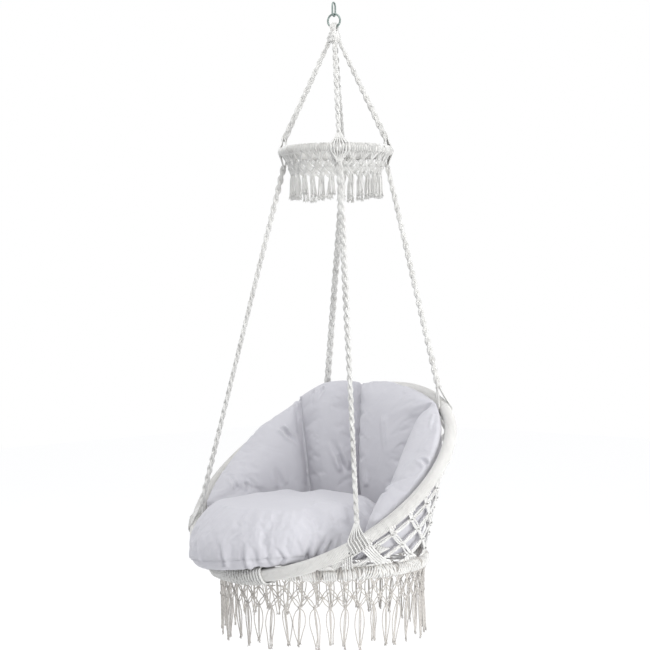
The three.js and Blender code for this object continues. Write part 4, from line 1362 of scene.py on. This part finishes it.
def applied(mesh, name, kind, **settings):
    """The mesh that one modifier makes, in place of the mesh it was given."""
    holder = bpy.data.objects.new(name, mesh)
    scene.collection.objects.link(holder)
    modifier = holder.modifiers.new(name, kind)
    for key, value in settings.items():
        setattr(modifier, key, value)
    finished = finished_mesh(holder)
    bpy.data.meshes.remove(mesh)
    return finished


trial_ball, trial_turn, trial_polar = ball_points(8, 6)
print("a coarse ball has", len(trial_ball.verts), "points and", len(trial_ball.faces), "faces")
trial_ball.free()

# %% [markdown]
# A cushion must not sink into what holds it. A point that would enter a wrapped ring is moved
# straight away from the ring's centreline, and a point outside the net's wall is drawn in level.
# The wall is found by steps: a point's height on it gives its outline, and that its height again.

# %% Helpers that keep a cushion clear of the bowl


def clear_of_ring(places, ring, gap):
    """Points too near a wrapped ring go straight away from its centreline."""
    reach = ring.wrap_radius + gap
    offset = places - ring.centre
    height = offset @ ring.axis
    flat = offset - height[:, None] * ring.axis
    span = np.linalg.norm(flat, axis=1)
    away = np.hypot(span - ring.radius, height)
    grow = np.where(away < reach, reach / np.maximum(away, 1e-6), 1.0)
    toward = flat / np.maximum(span, 1e-6)[:, None]
    moved = ring.centre + toward * (ring.radius + (span - ring.radius) * grow)[:, None]
    return moved + ring.axis * (height * grow)[:, None]


def around_bowl(places, lowest=-np.inf, highest=np.inf):
    """Turn, share of the wall's height, and the wall's middle, width and depth, for points."""
    share = np.full(len(places), 0.5)
    for _ in range(6):
        wide = base_ring.radius * (1 - share) + rim_ring.radius * share
        deep = base_ring.radius * (1 - share) + rim_ring.radius * math.cos(rim_ring.slope) * share
        middle = base_ring.centre[1] * (1 - share) + rim_ring.centre[1] * share
        turn = np.arctan2(places[:, 0] / wide, (middle - places[:, 1]) / deep)
        top = rim_ring.centre[2] - rim_ring.radius * np.cos(turn) * math.sin(rim_ring.slope)
        share = (places[:, 2] - base_ring.centre[2]) / np.maximum(top - base_ring.centre[2], 0.03)
        share = np.clip(share, lowest, highest)
    return turn, share, middle, wide, deep


# The wall is open at the front, up to this many degrees on each side.
open_front = 28


def clear_of_wall(places, gap):
    """Points outside the bowl's wall are drawn level towards its middle."""
    turn, share, middle, wide, deep = around_bowl(places, 0, 1.0)
    measure = np.hypot(places[:, 0] / wide, (middle - places[:, 1]) / deep)
    limit = 1 - gap / np.minimum(wide, deep)
    walled = (share < 0.999) & (np.abs(np.degrees(turn)) > open_front)
    draw = np.where(walled, np.minimum(1, limit / measure), 1.0)
    moved = places.copy()
    moved[:, 0] *= draw
    moved[:, 1] = middle + (places[:, 1] - middle) * draw
    return moved


behind_wall = np.array([(0.0, 0.3, -1.3)])
drawn_in = float(behind_wall[0, 1] - clear_of_wall(behind_wall, 0.01)[0, 1])
print("a point behind the back wall is drawn in by", round(drawn_in, 3), "m")

# %% [markdown]
# Filling is simulated as cloth under pressure, without gravity, for a few frames. It swells more
# in some places than real filling does, so the distance that a point moves is capped. A crease is
# pressed in along a path afterwards: a valley with a soft ridge on both sides, which starts
# quickly where it leaves a seam and fades out towards its end.

# %% Helpers that fill a cover and crease it
cloth_frames = 20


def blow_up(mesh, name, pressure, growth, held):
    """Swells a closed cover as cloth. held gives each point's pin weight, from 0 to 1."""
    holder = bpy.data.objects.new(name, mesh)
    scene.collection.objects.link(holder)
    pins = holder.vertex_groups.new(name="held")
    for index in np.flatnonzero(held > 0.01):
        pins.add([int(index)], float(held[index]), "REPLACE")
    cloth = holder.modifiers.new("cloth", "CLOTH")
    cloth.settings.quality = 5
    cloth.settings.mass = 0.25
    cloth.settings.tension_stiffness = 18
    cloth.settings.compression_stiffness = 18
    cloth.settings.shear_stiffness = 6
    cloth.settings.bending_stiffness = 0.2
    cloth.settings.use_pressure = True
    cloth.settings.uniform_pressure_force = pressure
    cloth.settings.shrink_min = -growth
    cloth.settings.vertex_group_mass = "held"
    cloth.settings.effector_weights.gravity = 0
    cloth.collision_settings.use_collision = False
    cloth.point_cache.frame_start = 1
    cloth.point_cache.frame_end = cloth_frames
    for step in range(1, cloth_frames + 1):
        scene.frame_set(step)
    swollen = finished_mesh(holder)
    scene.frame_set(1)
    return swollen


def capped(start, end, most):
    """The moves from start to end, none longer than most."""
    move = end - start
    length = np.linalg.norm(move, axis=1)
    return start + move * np.minimum(1, most / np.maximum(length, 1e-9))[:, None]


crease_ridge = 0.45


def crease(places, normals, path, width, depth, fade=True):
    """Presses a fold along a path into a surface, with a soft ridge on both its sides."""
    path = np.asarray(path, float)
    best = np.full(len(places), 1.0)
    along = np.zeros(len(places))
    steps = np.linalg.norm(np.diff(path, axis=0), axis=1)
    starts = np.concatenate([[0], np.cumsum(steps)])
    near = np.flatnonzero(
        np.all((places > path.min(0) - 4 * width) & (places < path.max(0) + 4 * width), axis=1)
    )
    for i, step in enumerate(steps):
        line = (path[i + 1] - path[i]) / step
        share = np.clip((places[near] - path[i]) @ line, 0, step)
        away = np.linalg.norm(places[near] - path[i] - share[:, None] * line, axis=1)
        closer = away < best[near]
        best[near[closer]] = away[closer]
        along[near[closer]] = (starts[i] + share[closer]) / starts[-1]
    middle = np.argmin(np.linalg.norm(places - path[len(path) // 2], axis=1))
    facing = np.clip(normals @ normals[middle] * 1.6 + 0.3, 0, 1)
    strength = np.clip((1 - along) * 1.4, 0, 1) * np.clip(along * 7, 0, 1) if fade else 1.0
    valley = np.exp(-((best / width) ** 2))
    sides = np.exp(-(((best - 1.9 * width) / width) ** 2))
    pressed = (crease_ridge * sides - valley) * depth * strength * facing
    return places + normals * pressed[:, None]


print("a cover is filled in", cloth_frames, "frames")

# %% [markdown]
# The seat cushion is a round, well filled pillow. It lies on the net, leans on the back cushion,
# and at the front it swells over the rim. Its one seam runs low round its side, gathered into
# small pleats, so the folds there are short, sharp and of uneven length.

# %% Seat cushion cover
seat_centre = np.array((0.0, -0.163, 0.0))
seat_radius = 0.262
seat_bottom = base_ring.centre[2] + 0.0267
seat_height = 0.144
# Share of the way from pole to pole, then the shares of the reach and the height there.
seat_table = np.array([
    (0.0, 0.0, 1.0), (0.1, 0.27, 0.995), (0.19, 0.56, 0.96), (0.27, 0.8, 0.88),
    (0.34, 0.93, 0.77), (0.4, 0.985, 0.64), (0.46, 1.0, 0.5), (0.51, 0.99, 0.36),
    (0.56, 0.965, 0.24), (0.61, 0.93, 0.1), (0.68, 0.8, 0.01), (0.78, 0.6, -0.03),
    (0.88, 0.34, -0.1), (1.0, 0.0, -0.1),
])
overhang_turn = math.radians(-43)
overhang_width = math.radians(46)
front_width = math.radians(60)
lashed_turn = math.radians(17)
lashing_gap = 0.0105


def seat_overhang(turn):
    """How much further the pillow swells over the front of the rim, from 0 to 1."""
    return np.exp(-(((turn - overhang_turn) / overhang_width) ** 2))


def seat_front(turn):
    """How much a turn belongs to the middle of the front, from 0 to 1."""
    return np.exp(-((turn / front_width) ** 2))


def clear_of_front(places, gap):
    """Keeps points off the rim, and off the lashing where that covers the rim."""
    turn = np.arctan2(places[:, 0], rim_ring.centre[1] - places[:, 1])
    lashed = np.abs(turn) < lashed_turn
    moved = clear_of_ring(places, rim_ring, gap)
    moved[lashed] = clear_of_ring(places[lashed], rim_ring, gap + lashing_gap)
    return moved


ball, ball_turn, ball_polar = ball_points(96, 56)
reach_share = np.interp(ball_polar / math.pi, seat_table[:, 0], seat_table[:, 1])
height_share = np.interp(ball_polar / math.pi, seat_table[:, 0], seat_table[:, 2])
over = seat_overhang(ball_turn)
front = seat_front(ball_turn)
reach = seat_radius * reach_share * (0.965 + 0.15 * over * reach_share**2 + 0.03 * front)
level = seat_bottom + seat_height * height_share
outer_part = np.clip((reach_share - 0.78) / 0.2, 0, 1)
level -= (0.034 * over + 0.03 * front) * outer_part * np.clip(1.2 - height_share, 0, 1)
level -= 0.012 * front * np.clip(height_share, 0, 1) * reach_share**2
seat_points = np.stack(
    [reach * np.sin(ball_turn), seat_centre[1] - reach * np.cos(ball_turn), level], axis=1
)
seat_points = clear_of_front(clear_of_wall(seat_points, 0.012), 0.004)
for vertex, place in zip(ball.verts, seat_points):
    vertex.co = place
seat_mesh = bpy.data.meshes.new("seat_cover")
bmesh.ops.recalc_face_normals(ball, faces=ball.faces)
ball.to_mesh(seat_mesh)
ball.free()
seat_mesh = applied(seat_mesh, "remesh", "REMESH", mode="VOXEL", voxel_size=0.0062)
litres = round(signed_volume(seat_mesh) * 1000, 1)
print("seat cover:", len(seat_mesh.vertices), "points,", litres, "litres")

# %% [markdown]
# The seam and the underside are pinned while the seat cushion fills. Then its pleats are pressed
# in. They start at the seam, run up and down from it and get wider and fainter, and each has a
# ridge on one side. Most of those at the front follow the photograph, and the others come from
# chance. Last come the seam's own groove and the few long folds on top.

# %% Seat cushion filled
seat_start = mesh_points(seat_mesh).copy()


def seam_share(turn):
    """Height share of the seam. It sags where the pillow hangs over the front."""
    return 0.2 - 0.2 * seat_overhang(turn) - 0.06 * seat_front(turn)


def seat_place(places):
    """Turn about the pillow's middle, reach and height share of points."""
    away = places - seat_centre
    return (
        np.arctan2(away[:, 0], -away[:, 1]),
        np.hypot(away[:, 0], away[:, 1]),
        (places[:, 2] - seat_bottom) / seat_height,
    )


turn, reach, high = seat_place(seat_start)
seam_high = seam_share(turn)
seam_weight = np.exp(-(((high - seam_high) / 0.035) ** 2)) * (reach > 0.2)
resting = np.clip((0.03 - high) / 0.05, 0, 1)
held = np.maximum(seam_weight * 0.9, resting)
seat_pressure, seat_growth = 5.0, 0.02
seat_mesh = blow_up(seat_mesh, "seat_cushion_cloth", seat_pressure, seat_growth, held)
seat_most = 0.003 + 0.009 * np.clip(high * 3, 0, 1)
seat_points = capped(seat_start, mesh_points(seat_mesh), seat_most)
seat_points = clear_of_front(clear_of_wall(seat_points, 0.009), 0.002)
set_points(seat_mesh, seat_points)
seat_mesh = applied(seat_mesh, "smooth", "SUBSURF", levels=1, render_levels=1)
seat_points = mesh_points(seat_mesh).copy()
seat_normals = mesh_normals(seat_mesh)
turn, reach, high = seat_place(seat_points)
seam_high = seam_share(turn)
pleat_depth, seam_depth = 0.0092, 0.0035
# Turn, height and strength of the pleats that the photograph shows. The others are drawn.
pleat_list = [
    (-21, 0.42, 1.0), (0, 0.34, 1.0), (13, 0.3, 0.9), (21, 0.16, 0.4), (27, 0.16, 0.4),
    (37, 0.22, 0.6), (51, 0.3, 1.5), (56, 0.4, 0.9), (62, 0.32, 0.9), (-36, 0.3, 0.8),
    (-52, 0.36, 0.9),
]
for start in np.cumsum(luck.uniform(11, 19, 15)) + 66:
    pleat_list.append((start, luck.uniform(0.18, 0.42), luck.uniform(0.5, 1.0)))
pleats = np.zeros(len(seat_points))
for start, tall, strong in pleat_list:
    rise = np.abs(high - seam_high)
    away = (np.degrees(turn) - start + 180) % 360 - 180 - luck.normal(0, 12) * rise
    fall = np.clip(1 - rise / tall, 0, 1) ** 0.8
    pleats -= strong * fall * np.exp(-((away / (0.9 + 2.2 * rise)) ** 2))
    pleats += strong * 0.75 * fall * np.exp(-(((away - 2.6) / (1.6 + 3.0 * rise)) ** 2))
seam_line = np.exp(-(((high - seam_high) / 0.018) ** 2))
side_share = np.clip((reach - 0.17) / 0.05, 0, 1) * (high > -0.05)
pressed = (pleats * pleat_depth - seam_line * seam_depth) * side_share
seat_points += seat_normals * pressed[:, None]
# Each crease has a path, a width and a depth.
seat_creases = (
    ([(0.118, -0.232, -1.352), (0.157, -0.2, -1.355), (0.19, -0.186, -1.36)], 0.009, 0.009),
    ([(0.16, -0.17, -1.353), (0.21, -0.187, -1.367), (0.238, -0.2, -1.384)], 0.007, 0.009),
    ([(-0.13, -0.02, -1.36), (-0.08, -0.06, -1.347), (-0.03, -0.14, -1.344)], 0.026, 0.009),
    ([(-0.19, -0.2, -1.37), (-0.13, -0.27, -1.36), (-0.04, -0.31, -1.36)], 0.03, 0.005),
)
for path, width, depth in seat_creases:
    seat_points = crease(seat_points, seat_normals, path, width, depth)
set_points(seat_mesh, clear_of_front(clear_of_wall(seat_points, 0.008), 0.001))
seat_piece = add_piece(
    "seat_cushion_cover", seat_mesh, cushion_cloth, ["seat_cushion"]
)

# %% [markdown]
# The back cushion is one long cover that follows the wall of the bowl. Three seams sewn through it
# make four pillows, and the last one on each side thins out to a tip beside the seat. Its sections
# are taken across the wall, from the base ring up over the rim.

# %% Back cushion cover
back_first = 61.0
back_last = 299.0
back_seams = (140.0, 196.0, 230.0)
# Angle, and share of the most that the cushion stands above the rim there.
back_rise = np.array([
    (61, 0.0), (80, 0.1), (100, 0.3), (120, 0.38), (138, 0.32), (146, 0.25), (160, 0.22),
    (178, 0.3), (194, 0.25), (201, 0.6), (214, 1.0), (228, 0.85), (236, 0.55), (252, 0.7),
    (270, 0.4), (285, 0.2), (299, 0.0),
])
back_least_rise, back_most_rise = 0.008, 0.038
back_thickness = 0.088
back_gap = 0.0115


def near_seams(angle, width):
    """1 on a sewn seam of the back cushion, falling to 0 beside it."""
    return np.max([np.exp(-(((angle - at) / width) ** 2)) for at in back_seams], axis=0)


def seat_reach_at(height):
    """Widest reach of the filled seat cushion at a height."""
    share = (height - seat_bottom) / seat_height
    table = seat_table[::-1]
    table = table[(table[:, 2] >= 0) & (table[:, 1] > 0.75)]
    reach = seat_radius * np.interp(share, table[:, 2], table[:, 1])
    return np.where((share > 1.02) | (share < -0.2), 0.0, reach)


def back_places(angle, share, depth_share):
    """Points in a section: share counts up the wall, depth_share from the wall inwards."""
    turn = np.radians(angle)
    side = np.stack([np.sin(turn), -np.cos(turn), np.zeros_like(turn)], axis=1)
    tangent = np.stack([np.cos(turn), np.sin(turn), np.zeros_like(turn)], axis=1)
    foot = base_ring.centre + side * base_ring.radius
    tilted = side * np.array((1.0, math.cos(rim_ring.slope), 1.0))
    tilted[:, 2] = -np.cos(turn) * math.sin(rim_ring.slope)
    rise = rim_ring.centre + tilted * rim_ring.radius - foot
    length = np.linalg.norm(rise, axis=1)
    rise /= length[:, None]
    inward = np.cross(rise, tangent)
    inward /= np.linalg.norm(inward, axis=1)[:, None]
    inward *= -np.sign((inward * side).sum(1))[:, None]
    low = base_ring.wrap_radius + 0.012
    rise_share = np.interp(angle, back_rise[:, 0], back_rise[:, 1])
    top = length + back_least_rise + back_most_rise * rise_share
    height = low + (top - low) * share
    tip = np.minimum(angle - back_first, back_last - angle)
    tip_share = np.sqrt(np.clip((tip + 1.0) / 16, 0, 1))
    full = back_thickness * tip_share * (1 - 0.5 * near_seams(angle, 4.5))
    lean = 0.3 * np.maximum(0, height - length)
    near_rim = np.clip((height - length + 0.045) / 0.03, 0, 1)
    back = back_gap + (rim_ring.wrap_radius - 0.0095) * near_rim + lean
    depth = back + full * depth_share
    return foot + rise * height[:, None] + inward * depth[:, None]


ball, ball_turn, ball_polar = ball_points(56, 150)
angle = back_first + (back_last - back_first) * ball_polar / math.pi
share = (1 - np.cos(ball_turn)) / 2
inner = ball_turn > 0
bow = np.abs(np.sin(ball_turn))
depth_share = np.where(inner, 0.16 + 0.84 * bow**0.75, 0.16 * (1 - bow**0.6))
back_points = back_places(angle, share, depth_share)
for _ in range(60):
    away = back_points - seat_centre
    span = np.hypot(away[:, 0], away[:, 1])
    blocked = inner & (span < seat_reach_at(back_points[:, 2]) + 0.007) & (depth_share > 0.05)
    if not blocked.any():
        break
    depth_share = np.where(blocked, depth_share - 0.02, depth_share)
    back_points = back_places(angle, share, depth_share)
print("back cushion still inside the seat:", int(blocked.sum()))
for vertex, place in zip(ball.verts, back_points):
    vertex.co = place
back_mesh = bpy.data.meshes.new("back_cover")
bmesh.ops.recalc_face_normals(ball, faces=ball.faces)
ball.to_mesh(back_mesh)
ball.free()
back_mesh = applied(back_mesh, "remesh", "REMESH", mode="VOXEL", voxel_size=0.0066)
litres = round(signed_volume(back_mesh) * 1000, 1)
print("back cover:", len(back_mesh.vertices), "points,", litres, "litres")

# %% [markdown]
# The back cushion is held along its sewn seams, against the wall and where it meets the seat, so
# only its free side swells. The seams are then pressed in as narrow grooves. A ridge of piping
# goes along the edge of the wing, and the creases that run out of the seams follow the photograph.

# %% Back cushion filled
back_start = mesh_points(back_mesh).copy()


def back_measures(places):
    """Angle on the bowl and distance in from the wall, for points of the back cushion."""
    turn, _, middle, wide, deep = around_bowl(places)
    measure = np.hypot(places[:, 0] / wide, (middle - places[:, 1]) / deep)
    return np.degrees(turn) % 360, (1 - measure) * np.minimum(wide, deep)


angle, inside = back_measures(back_start)
outer_side = np.clip((0.03 - inside) / 0.01, 0, 1)
away = back_start - seat_centre
seat_gap = np.hypot(away[:, 0], away[:, 1])
beside_seat = np.clip((seat_reach_at(back_start[:, 2]) + 0.02 - seat_gap) / 0.012, 0, 1)
held = np.maximum(np.maximum(near_seams(angle, 1.3) * 0.97, outer_side * 0.8), beside_seat)
back_pressure, back_growth = 6.0, 0.015
back_mesh = blow_up(back_mesh, "back_cushion_cloth", back_pressure, back_growth, held)
back_most = 0.003 + 0.021 * (1 - np.maximum(outer_side, beside_seat))
back_points = capped(back_start, mesh_points(back_mesh), back_most)


def clear_of_seat(places, gap):
    """Points of the back cushion that would enter the seat cushion go straight away from it."""
    away = places - seat_centre
    span = np.hypot(away[:, 0], away[:, 1])
    need = np.maximum(1, (seat_reach_at(places[:, 2]) + gap) / np.maximum(span, 1e-6))
    moved = places.copy()
    moved[:, :2] = seat_centre[:2] + away[:, :2] * need[:, None]
    return moved


back_points = clear_of_ring(clear_of_seat(back_points, 0.006), rim_ring, 0.002)
set_points(back_mesh, clear_of_wall(back_points, 0.01))
back_mesh = applied(back_mesh, "smooth", "SUBSURF", levels=1, render_levels=1)
back_points = mesh_points(back_mesh).copy()
back_normals = mesh_normals(back_mesh)
angle, inside = back_measures(back_points)
groove_depth = 0.009
seam_groove = near_seams(angle, 0.7)
seam_groove *= np.clip((inside - 0.025) / 0.01, 0, 1)
back_points -= back_normals * (seam_groove * groove_depth)[:, None]
# The piping along the wing's edge stands up, so its depth is negative and it doesn't fade.
piping = [
    (0.2642, 0.089, -1.1246), (0.2934, 0.035, -1.16), (0.2985, 0.008, -1.186),
    (0.288, -0.04, -1.235), (0.280, -0.09, -1.285), (0.2767, -0.1365, -1.3276),
    (0.2831, -0.1627, -1.353), (0.2986, -0.1944, -1.3741), (0.3003, -0.2042, -1.3984),
]
back_points = crease(back_points, back_normals, piping, 0.0045, -0.0035, fade=False)
back_creases = (
    ([(-0.2616, 0.024, -1.176), (-0.237, 0.03, -1.198), (-0.218, 0.052, -1.225)], 0.0055, 0.015),
    ([(-0.084, 0.109, -1.3), (-0.1, 0.096, -1.25), (-0.1235, 0.092, -1.208)], 0.0075, 0.016),
    ([(0.062, 0.122, -1.135), (0.0776, 0.11, -1.189), (0.0965, 0.096, -1.26)], 0.006, 0.011),
    ([(-0.25, 0.098, -1.09), (-0.251, 0.098, -1.125)], 0.004, 0.007),
    ([(-0.207, 0.106, -1.07), (-0.202, 0.094, -1.112)], 0.004, 0.008),
    ([(-0.176, 0.117, -1.06), (-0.186, 0.1, -1.112)], 0.004, 0.007),
    ([(-0.2506, -0.112, -1.345), (-0.273, -0.11, -1.312)], 0.0045, 0.007),
    ([(-0.268, -0.14, -1.34), (-0.314, -0.134, -1.296)], 0.005, 0.008),
    ([(-0.0327, 0.112, -1.342), (-0.082, 0.124, -1.315)], 0.006, 0.010),
    ([(0.004, 0.11, -1.337), (-0.008, 0.11, -1.285)], 0.005, 0.009),
    ([(0.36, -0.0385, -1.24), (0.325, -0.0415, -1.224), (0.296, -0.03, -1.212)], 0.006, 0.013),
    ([(0.135, 0.088, -1.32), (0.142, 0.085, -1.26)], 0.006, 0.009),
    ([(0.262, -0.12, -1.36), (0.29, -0.1, -1.30), (0.3, -0.06, -1.25)], 0.008, 0.008),
    ([(-0.21, -0.02, -1.34), (-0.23, -0.03, -1.28)], 0.008, 0.008),
)
for path, width, depth in back_creases:
    back_points = crease(back_points, back_normals, path, width, depth)
set_points(back_mesh, back_points)
back_piece = add_piece(
    "back_cushion_cover", back_mesh, cushion_cloth, ["back_cushion"]
)

# %% [markdown]
# The hoops are bare painted tube under their wraps, and the spigots join them. They stay as they
# came from the imported model and only get their paint.

# %% Bare tubes
for name in ("rim_hoop", "base_hoop", "canopy_hoop", "rim_spigot", "base_spigot", "canopy_spigot"):
    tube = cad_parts[name].data
    tube.materials.clear()
    tube.materials.append(tube_paint)
